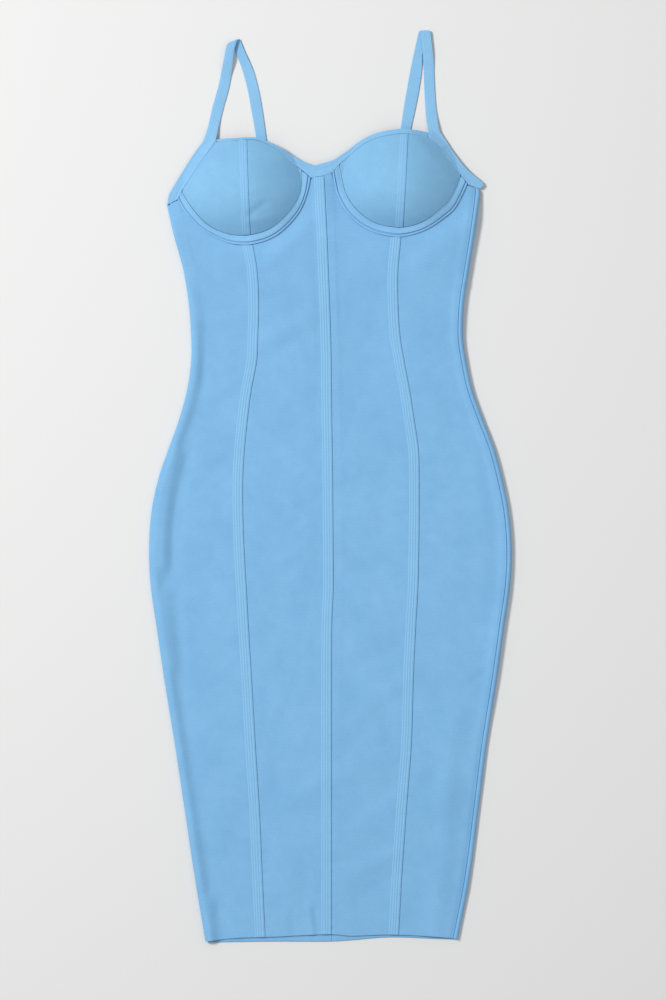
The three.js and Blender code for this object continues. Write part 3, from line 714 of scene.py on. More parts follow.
class NodeWork:
    """Shader nodes of one material, added and joined in short calls."""

    def __init__(self, name: str) -> None:
        """Start a material with its output and its main shader.

        Args:
            name: Its name.
        """
        self.material = bpy.data.materials.new(name)
        self.material.use_nodes = True
        self.tree = self.material.node_tree
        self.shader = self.tree.nodes["Principled BSDF"]

    def fill(self, node: bpy.types.Node, *first: object, **named: object) -> bpy.types.Node:
        """Fill a node's inputs with numbers, colours or output sockets.

        Args:
            node: The node.
            first: What goes to its first inputs.
            named: What goes to others, by the input's name with its spaces left out.

        Returns:
            The node.
        """
        inputs = {socket.name.replace(" ", ""): socket for socket in reversed(node.inputs)}
        pairs = [*zip(node.inputs, first), *((inputs[name], value) for name, value in named.items())]
        for socket, value in pairs:
            if isinstance(value, Socket):
                self.tree.links.new(value, socket)
            else:
                socket.default_value = value
        return node

    def node(self, kind: str, **inputs: object) -> bpy.types.Node:
        """Add a node, by Blender's name of its type, and fill its inputs."""
        return self.fill(self.tree.nodes.new(kind), **inputs)

    def math(self, operation: str, *terms: object) -> Socket:
        """Result of a Math node.

        Args:
            operation: Blender's name of the operation.
            terms: Numbers or output sockets.

        Returns:
            The result.
        """
        added = self.tree.nodes.new("ShaderNodeMath")
        added.operation = operation
        return self.fill(added, *terms).outputs[0]

    def sine(self, along: object, spacing: float) -> Socket:
        """Sine wave along a length, one turn for each spacing."""
        return self.math("SINE", self.math("MULTIPLY", along, 2 * math.pi / spacing))

    def weighted(self, *parts: tuple[object, float]) -> Socket:
        """Sum of sockets, each times its weight."""
        terms = [self.math("MULTIPLY", *part) for part in parts]
        return reduce(lambda total, term: self.math("ADD", total, term), terms)

    def noise(self, size: float) -> Socket:
        """Noise over the object.

        Args:
            size: Size of its features, in metres.

        Returns:
            A value between -0.5 and 0.5.
        """
        place = self.node("ShaderNodeTexCoord").outputs["Object"]
        added = self.node("ShaderNodeTexNoise", Vector=place, Scale=1 / size, Detail=2.0, Roughness=0.55)
        return self.math("SUBTRACT", added.outputs[0], 0.5)

    def cloth_place(self) -> tuple[Socket, Socket]:
        """Place on the flat cloth.

        Returns:
            Metres across it and along it.
        """
        flat = self.node("ShaderNodeUVMap")
        flat.uv_map = UV_NAME
        apart = self.node("ShaderNodeSeparateXYZ", Vector=flat.outputs[0])
        return apart.outputs[0], apart.outputs[1]

    def finished(
        self, colours: tuple[Colour, Colour], shade: Socket, relief: Socket, height: float, **inputs: object
    ) -> bpy.types.Material:
        """Join a colour and a bump to the shader.

        Args:
            colours: The dark colour and the light one.
            shade: From -0.5 at the dark colour to 0.5 at the light one.
            relief: Relief of the bump.
            height: Metres for a relief of 1.
            inputs: The shader's other inputs.

        Returns:
            The material.
        """
        mix = self.tree.nodes.new("ShaderNodeMix")
        mix.data_type = "RGBA"
        self.fill(mix, Factor=self.math("ADD", shade, 0.5))
        ends = [socket for socket in mix.inputs if socket.type == "RGBA"]
        for socket, colour in zip(ends, colours):
            socket.default_value = (*colour, 1)
        mixed = next(socket for socket in mix.outputs if socket.type == "RGBA")
        bump = self.node("ShaderNodeBump", Distance=height, Height=relief)
        self.fill(self.shader, BaseColor=mixed, Normal=bump.outputs[0], **inputs)
        return self.material


@dataclass(frozen=True)
class KnitFinish:
    """Knitted cloth: heavier courses across, small loops between them, grain and slow clouds of colour.

    Lengths are in metres. relief is the height of the bump, and the shares say how much of it each pattern
    takes. The shades are what each pattern takes of the colour, as painted shade, darker in its grooves and
    lighter on its tops; the grain's is also uneven tone, and cloud_tint is uneven tone alone.
    """

    name: str
    light: Colour
    dark: Colour
    course: float = 0.0042
    wale: float = 0.00135
    loop: float = 0.0016
    grain: float = 0.0016
    relief: float = 0.00007
    course_share: float = 0.12
    wale_share: float = 0.35
    loop_share: float = 0.5
    grain_share: float = 0.6
    course_shade: float = 0.05
    wale_shade: float = 0.2
    loop_shade: float = 0.1
    grain_tone_and_shade: float = 0.8
    cloud_tint: float = 1.25
    clouds: tuple[Point, Point] = ((0.05, 0.7), (0.013, 0.45))

    def material(self) -> bpy.types.Material:
        """Material of this knit.

        The relief is a sine of the length for the courses, plus a sine of the width for the wales, plus that
        times a sine of the length for the loops, plus noise. The colour goes from dark to light with it, as
        painted shade that darkens the grooves, and with slow clouds of uneven tone.

        Returns:
            The material.
        """
        work = NodeWork(self.name)
        width, length = work.cloth_place()
        course, wale = work.sine(length, self.course), work.sine(width, self.wale)
        loop = work.math("MULTIPLY", wale, work.sine(length, self.loop))
        grain = work.noise(self.grain)
        cloud = work.weighted(*((work.noise(size), share) for size, share in self.clouds))
        patterns = (course, wale, loop, grain)
        shares = (self.course_share, self.wale_share, self.loop_share, self.grain_share)
        # Painted shade: each pattern darkens the colour in its grooves and lightens it on its tops.
        groove_shades = (self.course_shade, self.wale_shade * self.wale_share, self.loop_shade, self.grain_tone_and_shade)
        return work.finished(
            (self.dark, self.light),
            work.weighted(*zip(patterns, groove_shades), (cloud, self.cloud_tint)),
            work.weighted(*zip(patterns, shares)),
            self.relief,
            Roughness=0.82,
            SheenWeight=0.1,
            SheenRoughness=0.45,
            SheenTint=(0.86, 0.93, 1, 1),
            SpecularIORLevel=0.3,
        )


@dataclass(frozen=True)
class ShadedThreadFinish:
    """Sewing thread: its twist as a bump, its colours darker as painted shade of its grooves."""

    name: str = "sewing_thread_painted_shade"
    # Painted shade: both colours are darker than the cloth's, for the shade of the grooves that the stitches
    # lie in.
    light: Colour = (0.25, 0.5, 0.76)
    dark: Colour = (0.15, 0.37, 0.62)
    twist: float = 0.0006
    tint: float = 0.4
    relief: float = 0.00004

    def material(self) -> bpy.types.Material:
        """Material of the thread: a sine along a slanted line for the twist.

        The twist also darkens the colour in its hollows, as painted shade.

        Returns:
            The material.
        """
        work = NodeWork(self.name)
        twist = work.sine(work.math("ADD", *work.cloth_place()), self.twist)
        # Painted shade along the twist's hollows.
        shade = work.math("MULTIPLY", twist, self.tint)
        return work.finished((self.dark, self.light), shade, twist, self.relief, Roughness=0.6)


KNITS = {
    Slot.BODY: KnitFinish("body_bandage_knit", (0.24, 0.51, 0.8), (0.182, 0.427, 0.7)),
    Slot.CUP: KnitFinish("cup_knit", (0.246, 0.518, 0.777), (0.189, 0.434, 0.68), 0.0036),
    Slot.TAPE: KnitFinish(
        "tape_rib", (0.262, 0.54, 0.82), (0.205, 0.455, 0.72), wale=0.0031, wale_share=1.2, cloud_tint=0.3
    ),
    Slot.BAND: KnitFinish(
        "band_rib", (0.265, 0.54, 0.82), (0.21, 0.465, 0.73), 0.0024, 0.0018, wale_share=0.8
    ),
    Slot.STRAP: KnitFinish(
        "strap_rib", (0.28, 0.557, 0.833), (0.225, 0.482, 0.743), 0.0022, 0.0019, wale_share=0.9
    ),
}


@dataclass(frozen=True)
class Cut:
    """The flat cloth that a sheet was cut from: width and length, and the area where it isn't a rectangle."""

    width: float
    length: float
    area: float | None = None


class Workroom:
    """The dress's finishes, each made once, and the calls that put its pieces in the scene."""

    def __init__(self) -> None:
        """Make all the materials."""
        self.knits = {slot: knit.material() for slot, knit in KNITS.items()}
        # The thread's colours hold painted shade of the stitch grooves.
        self.thread = ShadedThreadFinish().material()

    def piece(self, name: str, mesh: bpy.types.Mesh, slot: Slot, sewn: bool = False) -> bpy.types.Object:
        """Put a mesh in the scene as a piece that rides on the dress.

        Args:
            name: Name of the piece.
            mesh: Its mesh, in place.
            slot: The record's slot for it, whose knit it has.
            sewn: True where it is sewing thread instead.

        Returns:
            The new object.
        """
        piece = add_object(name, mesh)
        mesh.materials.append(self.thread if sewn else self.knits[slot])
        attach(piece, "root")
        log.info("%s: %d faces", name, len(mesh.polygons))
        return piece

    def sheet(
        self,
        node: str,
        wall: Wall,
        slot: Slot,
    ) -> None:
        """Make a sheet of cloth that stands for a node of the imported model.

        Args:
            node: The node.
            wall: Its shape.
            slot: The record's slot for it.
        """
        piece = self.piece(f"{node}_cloth", wall.mesh(f"{node}_cloth"), slot)
        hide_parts(node)


@dataclass(frozen=True)
class Span:
    """Width of a panel between two seams, sides or fixed places, less what is kept clear of each."""

    left: str | float
    right: str | float
    from_left: float
    from_right: float

    def x(self, y: Array | float, shares: Array | float) -> Array:
        """Places across the panel.

        Args:
            y: Levels.
            shares: Shares of the way from its left to its right.

        Returns:
            The places.
        """
        sides = (self.left, self.right)
        left, right = (SECTIONS.at(side, y) if isinstance(side, str) else side for side in sides)
        return blend(left + self.from_left, right - self.from_right, shares)


@dataclass(frozen=True)
class Body:
    """The four front panels, the two halves of the back and the binding of its top."""

    knit: float = 1.5
    half_gap: float = 0.04
    seam_gap: float = 0.06
    wire_gap: float = 0.13
    wide_gap: float = 0.3
    side_gap: float = 0.11
    side_seam: float = 6.0
    hidden_seam: float = 12.0
    centre_back: float = 2.0
    band_width: float = 11.0
    band_wall: float = 2.2
    tuck: float = 3.0
    hem_shift: float = 25.0
    open_rim: float = 0.6
    top_rim: float = 0.25
    side_rim: float = 0.3
    seam_rim: float = 0.15
    seam_dip: float = 0.15
    seam_dip_reach: float = 1.2
    side_dip: float = 1.4
    side_dip_reach: float = 4.2
    front_rows: int = 300
    back_rows: int = 220
    roll_columns: int = 13
    hidden_columns: int = 6
    seam_columns: int = 8
    band_columns: int = 160
    band_rows: int = 14
    band_levels: Point = (322.0, 345.0)
    tuck_turns: Point = (0.3, -0.5)
    back_dip_reach: float = 0.9
    wire_points: int = 60
    first_guess: float = 320.0
    searches: int = 12
    search_step: float = 0.7

    def front_grid(
        self, line: Array, span: Span, shares: Array, left_dip: float = 0.0, right_dip: float = 0.0
    ) -> Array:
        """Grid of a front panel, which ends at a line and dips into its seams in a bell.

        A column keeps its share of the panel's width at every level, so its top is found by going back and
        forth between the level and the place a few times.

        Args:
            line: Points of its upper edge, from left to right.
            span: The panel's width.
            shares: Share of the width for each column.
            left_dip: How far it sinks at its left edge.
            right_dip: How far it sinks at its right edge.

        Returns:
            Points on the panel's outer face.
        """
        top = np.full_like(shares, self.first_guess)
        for _ in range(self.searches):
            top = blend(top, np.interp(span.x(top, shares), line[:, 0], line[:, 1]), self.search_step)
        y = levels(HEM.at("front", span.x(HEM_LEVEL, shares)), top, self.front_rows)
        x = span.x(y, shares)
        grid = FORM.on_front(x, y)
        grid[..., 2] -= left_dip * bell(x - span.x(y, 0.0), self.seam_dip_reach)
        grid[..., 2] -= right_dip * bell(span.x(y, 1.0) - x, self.side_dip_reach)
        return grid

    def wire_line(self, stations: Table, first: float, last: float, gap: float) -> Array:
        """Upper edge of a panel along a wire's casing, a gap away from it."""
        return beside(stations.edge(Edge.OUT), np.linspace(first, last, self.wire_points), -gap)

    def back_panel_top(self, x: Array) -> Array:
        """Level where a back panel ends under its binding."""
        return BACK_TOP.at("y", x) - self.band_width - self.seam_gap

    def fronts(self) -> list[Array]:
        """Grids of the four front panels, the left one without its roll.

        Returns:
            Points on their outer faces, from the left panel to the right.
        """
        gap, dip, wide, near = self.half_gap, self.seam_dip, self.wide_gap, self.wire_gap
        left_end = (-196.0, under_band(LEFT_UNDERARM.rows[0], 0.0))
        right_end = (180.0, under_band(RIGHT_UNDERARM.rows[1], 0.0))
        gore = ((-7.3, 371.85), (0.0, 374.4))
        side = self.side_seam + self.side_gap
        lines = (
            (left_end, *self.wire_line(LEFT_STATIONS, 0, 6, wide)),
            (*self.wire_line(LEFT_STATIONS, 6, 12, wide), (-19.0, 370.15), *gore),
            ((-10.0, 371.3), *gore, (1.8, 375.2), *self.wire_line(RIGHT_STATIONS, 0, 7, near)),
            (*self.wire_line(RIGHT_STATIONS, 7, 13, near), right_end),
        )
        panels = (
            (Span("left", "princess_left", FORM.edge_roll, gap), end_packed(56, LIGHT_PACKING)),
            (Span("princess_left", "centre", gap, gap), end_packed(48), dip),
            (Span("centre", "princess_right", gap, gap), end_packed(48), dip),
            (Span("princess_right", "right", gap, side), end_packed(54), dip, self.side_dip),
        )
        return [self.front_grid(np.array(line), *panel) for line, panel in zip(lines, panels)]

    def round_left(self) -> Array:
        """Grid of the left panel's part that rolls round the edge, from a hidden seam up to the front.

        Returns:
            Its points.
        """
        turns = np.linspace(-1, 1, self.roll_columns)[:-1]
        top = under_band(LEFT_UNDERARM.rows[0], 0.0) + self.tuck * smooth(*self.tuck_turns, turns)
        hem = HEM.at("front", SECTIONS.at("left", HEM_LEVEL))
        roll = FORM.on_roll(-1, turns, levels(hem, top, self.front_rows))
        insets = np.linspace(self.hidden_seam, FORM.edge_roll, self.hidden_columns)[:-1]
        x = SECTIONS.at("left", BUST_LEVEL) + insets
        top = blend(self.back_panel_top(x), top[0], smooth(self.hidden_seam, FORM.edge_roll, insets))
        y = levels(HEM.at("back", x + self.hem_shift), top, self.front_rows)
        return np.concatenate([FORM.on_back(SECTIONS.at("left", y) + insets, y), roll], axis=1)

    def underside(self, span: Span) -> Array:
        """Grid of a part of the back that lies flat.

        Args:
            span: Its width.

        Returns:
            Its points, from the right to the left.
        """
        shares = end_packed(46, LIGHT_PACKING)[::-1]
        top = self.back_panel_top(span.x(BUST_LEVEL, shares))
        y = levels(HEM.at("back", span.x(HEM_LEVEL, shares)), top, self.back_rows)
        return FORM.on_back(span.x(y, shares), y)

    def back_right(self) -> Array:
        """Grid of the right half of the back, from the side seam on the front, round the edge to the centre.

        Returns:
            Its points.
        """
        underarm = RIGHT_UNDERARM.rows[1]
        insets = np.linspace(self.side_seam - self.side_gap, FORM.edge_roll, self.seam_columns)[:-1]
        edge = SECTIONS.at("right", HEM_LEVEL)
        seam_y = levels(HEM.at("front", edge - insets), under_band(underarm, insets), self.back_rows)
        seam = FORM.on_front(SECTIONS.at("right", seam_y) - insets, seam_y)
        seam[..., 2] -= self.side_dip * bell(insets - insets[0], self.back_dip_reach)
        turns = np.linspace(1, -1, self.roll_columns)
        under_top = self.back_panel_top(SECTIONS.at("right", BUST_LEVEL) - FORM.edge_roll)
        roll_top = blend(under_band(underarm, 0.0), under_top, smooth(1, -1, turns))
        hem = blend(HEM.at("front", edge), HEM.at("back", edge), smooth(1, -1, turns))
        roll = FORM.on_roll(1, turns, levels(hem, roll_top, self.back_rows))
        under = self.underside(Span(self.centre_back, "right", self.half_gap, FORM.edge_roll))
        return np.concatenate([seam, roll, under[:, 1:]], axis=1)

    def back_band(self) -> Array:
        """Grid of the binding along the back's top.

        Returns:
            Its points, from the right underarm to the left.
        """
        left = SECTIONS.at("left", self.band_levels[0]) + self.hidden_seam
        right = SECTIONS.at("right", self.band_levels[1]) - FORM.edge_roll
        x = np.linspace(right, left, self.band_columns)
        rise = np.linspace(0, self.band_width, self.band_rows)[:, None]
        return stacked(x, self.back_panel_top(x) + self.seam_gap + rise, 0.0)

    def build(self, room: Workroom) -> None:
        """Make the panels and the back's binding.

        Args:
            room: Where the finishes are.
        """
        seam, side, loose = self.seam_rim, self.side_rim, self.open_rim
        backs, floor = ("back_left", "back_right"), ("floor",)
        side_left, *fronts = self.fronts()
        back_left = Span("left", self.centre_back, self.hidden_seam + self.seam_gap, self.half_gap)
        grids = (
            np.concatenate([self.round_left(), side_left], axis=1),
            *fronts,
            self.underside(back_left),
            self.back_right(),
        )
        panels = (
            ("front_side_left", Cut(0.14, 0.895, 0.094), (loose, seam), backs),
            ("front_centre_left", Cut(0.11, 0.915, 0.082), (seam, seam), backs),
            ("front_centre_right", Cut(0.108, 0.915, 0.0815), (seam, seam), backs),
            ("front_side_right", Cut(0.11, 0.905, 0.0755), (seam, side), backs),
            ("back_left", Cut(0.21, 0.87, 0.152), (side, loose), floor),
            ("back_right", Cut(0.235, 0.905, 0.167), (side, loose), floor),
        )
        for grid, (node, cut, rims, rests_on) in zip(grids, panels):
            wall = Wall(grid, self.knit, Rims(loose, self.top_rim, *rims))
            room.sheet(node, wall, Slot.BODY)
        band = Wall(self.back_band(), self.band_wall, across_is_rows=True)
        room.sheet("back_band", band, Slot.BAND)


@dataclass(frozen=True)
class SeamTapes:
    """Flat ribbed tapes, each along the left of its seam, thin at its outer edge and full at the seam."""

    width: float = 12.3
    clearance: float = 0.12
    from_seam: float = 0.15
    hem_lift: float = 0.3
    thin: float = 0.15
    full: float = 0.75
    rib: float = 0.28
    ribs: int = 4
    ramp: Point = (-0.1, 0.5)
    rims: Rims = Rims(first=0.35, last=0.2)
    rows: int = 300
    columns: int = 33

    def wall(self, base: Array, across: Array) -> Wall:
        """Wall of a tape that lies on a grid of the cloth under it.

        Its height is a ramp up towards the seam, plus a cosine for each rib.

        Args:
            base: Points on the cloth.
            across: Share across the tape for each column.

        Returns:
            The wall.
        """
        slope = blend(self.thin, self.full, smooth(*self.ramp, across))
        height = slope + self.rib * (1 - np.cos(2 * np.pi * self.ribs * across)) / 2
        return Wall(lifted(base, self.clearance + height), height, self.rims)

    def body_tape(self, seam: str, top: float) -> Wall:
        """Tape along a seam of the body, from just over the hem.

        Args:
            seam: The seam's column in SECTIONS.
            top: Level where it ends under the wires.

        Returns:
            Its wall.
        """
        across = np.linspace(0, 1, self.columns)
        inset = self.width * (1 - across)
        hem = HEM.at("front", SECTIONS.at(seam, HEM_LEVEL) - inset) + self.hem_lift
        y = blend(hem, top, np.linspace(0, 1, self.rows)[:, None])
        return self.wall(FORM.on_front(SECTIONS.at(seam, y) - self.from_seam - inset, y), across)

    def build(self, room: Workroom) -> None:
        """Make the three tapes of the body.

        Args:
            room: Where the finishes are.
        """
        tapes = (
            ("princess_tape_left", "princess_left", 289.0, Cut(0.0125, 0.835)),
            ("centre_tape", "centre", 370.6, Cut(0.0125, 0.912)),
            ("princess_tape_right", "princess_right", 298.8, Cut(0.0125, 0.84)),
        )
        for node, seam, top, cut in tapes:
            room.sheet(node, self.body_tape(seam, top), Slot.TAPE)


@dataclass(frozen=True)
class Cup:
    """A moulded cup in two halves, its seam tape and its wire's casing."""

    side: str
    stations: Table
    seam: int
    seam_nodes: tuple[str, str]
    ends: tuple[tuple[Point, Point], tuple[Point, Point]]
    wall: float = 3.0
    gap: float = 0.05
    half_gap: float = 0.04
    half_columns: int = 64
    half_rows: int = 84
    seam_reach: float = 0.04
    half_rims: tuple[Rims, Rims] = (Rims(0.2, 0.15, 0.6, 0.2), Rims(0.2, 0.15, 0.2, 0.6))
    casing_rims: Rims = Rims(low=0.22, high=0.2)
    casing_columns: int = 230
    casing_rows: int = 37
    casing_slope: Point = (0.3, 1)
    casing_wall: float = 2.6
    casing_lift: float = 1.5
    casing_inner_lift: float = 0.3
    casing_crown: float = 0.55
    casing_eased: int = 9
    stitch_shares: Point = (0.27, 0.83)
    stitch_grooves: Point = (2.4, 0.3)
    groove_width: float = 0.058
    tape_width: float = 9.6
    tape_ends: Point = (0.004, 0.996)
    tape_rows: int = 90
    tape_columns: int = 25

    def half(self, first: int, last: int) -> Array:
        """Grid of one half: straight lines from the casing up to the top edge, laid on the front's height.

        Args:
            first: Station where it starts.
            last: Station where it ends.

        Returns:
            Points on the cup.
        """
        places = blend(first, last, end_packed(self.half_columns, LIGHT_PACKING))
        start = beside(self.stations.edge(Edge.IN), places, self.gap)
        end = beside(self.stations.edge(Edge.TOP), places, -self.half_gap)
        away = 1 if first == self.seam else -1
        shift = self.half_gap * (bell(places - self.seam, self.seam_reach) * away)
        flat = blend(start, end, end_packed(self.half_rows, LIGHT_PACKING)[:, None, None])
        return FORM.on_front(flat[..., 0] + shift, flat[..., 1])

    def seam_tape(self) -> Wall:
        """Raised tape along the left of the cup's seam, from the casing to the top.

        Returns:
            Its wall.
        """
        across = np.linspace(0, 1, self.tape_columns)
        rise = np.linspace(*self.tape_ends, self.tape_rows)[:, None]
        low = self.stations.edge(Edge.IN)[self.seam] + (0, self.gap)
        high = self.stations.edge(Edge.TOP)[self.seam] - (0, self.gap)
        x = blend(low[0], high[0], rise) - self.half_gap - self.tape_width * (1 - across)
        base = FORM.on_front(x, blend(low[1], high[1], rise))
        return SeamTapes(ribs=3, thin=0.1, full=0.6, rib=0.2).wall(base, across)

    def casing(self) -> Array:
        """Grid of the casing: a channel that arches over the wire, with a groove along each row of stitches.

        It is ruled between its two edges, whose last points reach up to the bands and whose heights are
        averaged over neighbours. Its height over that is the lift, less on the inside, plus the crown times
        the arch, less a narrow bell at each stitch line.

        Returns:
            Points on the casing.
        """
        places = np.linspace(0, len(self.stations.rows) - 1, self.casing_columns)
        across = np.linspace(0, 1, self.casing_rows)
        window = np.hanning(2 * self.casing_eased + 1)
        lines = []
        for k, edge in enumerate((Edge.OUT, Edge.IN)):
            points = self.stations.edge(edge)
            points[0], points[-1] = self.ends[0][k], self.ends[1][k]
            line = FORM.on_front(*spline(points, places).T)
            padded = np.pad(line[:, 2], self.casing_eased, mode="edge")
            line[:, 2] = np.convolve(padded, window / window.sum(), mode="valid")
            lines.append(line)
        grooves = zip(self.stitch_shares, self.stitch_grooves)
        groove = sum(depth * bell(across - share, self.groove_width) for share, depth in grooves)
        lift = blend(self.casing_lift, self.casing_inner_lift, smooth(*self.casing_slope, across))
        height = lift + self.casing_crown * arch(across) - groove
        return lifted(blend(lines[0], lines[1], across[:, None, None]), height[:, None])

    def build(self, room: Workroom) -> None:
        """Make the halves, the tape, the casing and the casing's stitches.

        Args:
            room: Where the finishes are.
        """
        marks = (0, self.seam, len(self.stations.rows) - 1)
        for k, (node, rims) in enumerate(zip(self.seam_nodes, self.half_rims)):
            wall = Wall(self.half(marks[k], marks[k + 1]), self.wall, rims)
            piece = room.piece(f"{node}_pad", wall.mesh(node), Slot.CUP)
            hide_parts(node)
        room.sheet(f"cup_tape_{self.side}", self.seam_tape(), Slot.TAPE)
        node, grid = f"casing_{self.side}", self.casing()
        stitches = Stitching(f"{node}_stitches").rows_along(grid, self.stitch_shares, room)
        channel = Wall(grid, self.casing_wall, self.casing_rims, across_is_rows=True)
        room.sheet(node, channel, Slot.BAND)


@dataclass(frozen=True)
class Stitching:
    """Rows of short stitches laid in their grooves, joined into one piece."""

    name: str
    pitch: float = 3.1
    length: float = 2.3
    thick: float = 0.22
    sunk: float = 0.1
    blunt: float = 0.02
    rings: int = 7
    sides: int = 6

    def stitch(self) -> tuple[Array, Array]:
        """One stitch along X: rings of a circle whose radius falls to nothing at both ends.

        Returns:
            Its points and its faces.
        """
        along = np.linspace(-1, 1, self.rings)[:, None]
        turn = np.linspace(0, 2 * np.pi, self.sides + 1)[:-1]
        radius = self.thick * np.sqrt(np.maximum(1 - along**2, self.blunt))
        points = stacked(along * self.length / 2, radius * np.cos(turn), radius * np.sin(turn)).reshape(-1, 3)
        index = np.arange(len(points)).reshape(self.rings, self.sides)
        index = np.concatenate([index, index[:, :1]], axis=1)
        caps = np.array([[0, 1, 2, 3], [0, 3, 4, 5], [39, 38, 37, 36], [41, 40, 39, 36]])
        return points, np.concatenate([quads(index)[:, ::-1], caps])

    def rows_along(self, grid: Array, shares: tuple[float, ...], room: Workroom) -> bpy.types.Object:
        """Sew rows of stitches along a strip whose columns follow its length.

        Args:
            grid: Points on the strip's outer face.
            shares: Share of the way across for each row of stitches.
            room: Where the finishes are.

        Returns:
            The stitches, as one piece.
        """
        points, faces = self.stitch()
        normal = normals(grid)
        placed = []
        for share in shares:
            row = share * (len(grid) - 1)
            line = spline(grid, np.array([row]))[0]
            run = arc_lengths(line[None], 1)[0]
            centres = np.arange(self.pitch, run[-1] - self.pitch / 2, self.pitch)
            middle, ahead, over = (
                np.stack([np.interp(centres, run, values) for values in read.T], axis=-1)
                for read in (line, np.gradient(line, axis=0), normal[round(row)])
            )
            ahead = unit(ahead)
            turned = np.stack([ahead, np.cross(over, ahead), over], axis=1)
            placed.append(np.einsum("pk,nkc->npc", points, turned) + (middle - over * self.sunk)[:, None, :])
        placed = np.concatenate(placed)
        faces = faces + (np.arange(len(placed)) * len(points))[:, None, None]
        flat = np.tile(points[:, :2], (len(placed), 1))
        mesh = make_mesh(self.name, placed.reshape(-1, 3), faces.reshape(-1, 4), flat)
        return room.piece(self.name, mesh, Slot.BAND, sewn=True)


@dataclass(frozen=True)
class Bindings:
    """The neck band and the two armhole bands, folded double over the edges of the cups."""

    wall: float = 2.2
    lift: float = 0.08
    crown: float = 0.22
    gap: float = 0.04
    neck_stitch: float = 0.55
    armhole_stitch: float = 0.28
    groove: float = 0.45
    groove_width: float = 0.07
    thread: float = 0.18
    rims: Rims = Rims(0.2, 0.8, 0.3, 0.3)
    rows: int = 17
    per_mark: int = 9

    def strip(self, parts: tuple[tuple[Table, slice | None], ...], stitch: float) -> Array:
        """Grid of a band between its lower edge and its rim.

        Its height over the front is the lift plus the crown times the arch, less a narrow bell at the stitch
        line.

        Args:
            parts: Tables of the band's points from left to right, each with its stations beside a cup, which
                the band keeps clear of, or None for a whole end.
            stitch: Share across at the stitch line.

        Returns:
            Points on the band's outer face.
        """
        low, rim = [], []
        for table, span in parts:
            top = table.edge(Edge.TOP)
            low.append(beside(top, np.arange(float(len(top)))[span], self.gap) if span else top)
            rim.append(table.edge(Edge.RIM)[span or slice(None)])
        low, rim = np.concatenate(low), np.concatenate(rim)
        places = np.linspace(0, len(low) - 1, self.per_mark * (len(low) - 1) + 1)
        across = np.linspace(0, 1, self.rows)[:, None]
        flat = blend(spline(low, places), spline(rim, places), across[..., None])
        grid = FORM.on_front(flat[..., 0], flat[..., 1])
        groove = self.groove * bell(across - stitch, self.groove_width)
        grid[..., 2] += self.lift + self.crown * arch(across) - groove
        return grid

    def build(self, room: Workroom) -> None:
        """Make the three bands, with a row of stitches along each.

        Args:
            room: Where the finishes are.
        """
        neck = ((LEFT_STATIONS, slice(4, 13)), (GORE, None), (RIGHT_STATIONS, slice(0, 10)))
        left = ((LEFT_UNDERARM, None), (LEFT_STATIONS, slice(0, 4)), (LEFT_STRAP_END, None))
        right = ((RIGHT_STRAP_END, None), (RIGHT_STATIONS, slice(10, 14)), (RIGHT_UNDERARM, None))
        bands = (
            ("neck_band", neck, self.neck_stitch, Cut(0.0105, 0.3)),
            ("armhole_band_left", left, self.armhole_stitch, Cut(0.014, 0.09)),
            ("armhole_band_right", right, self.armhole_stitch, Cut(0.014, 0.09)),
        )
        for node, parts, stitch, cut in bands:
            grid = self.strip(parts, stitch)
            stitches = Stitching(f"{node}_stitches", thick=self.thread).rows_along(grid, (stitch,), room)
            wall = Wall(grid, self.wall, self.rims, across_is_rows=True)
            room.sheet(node, wall, Slot.BAND)


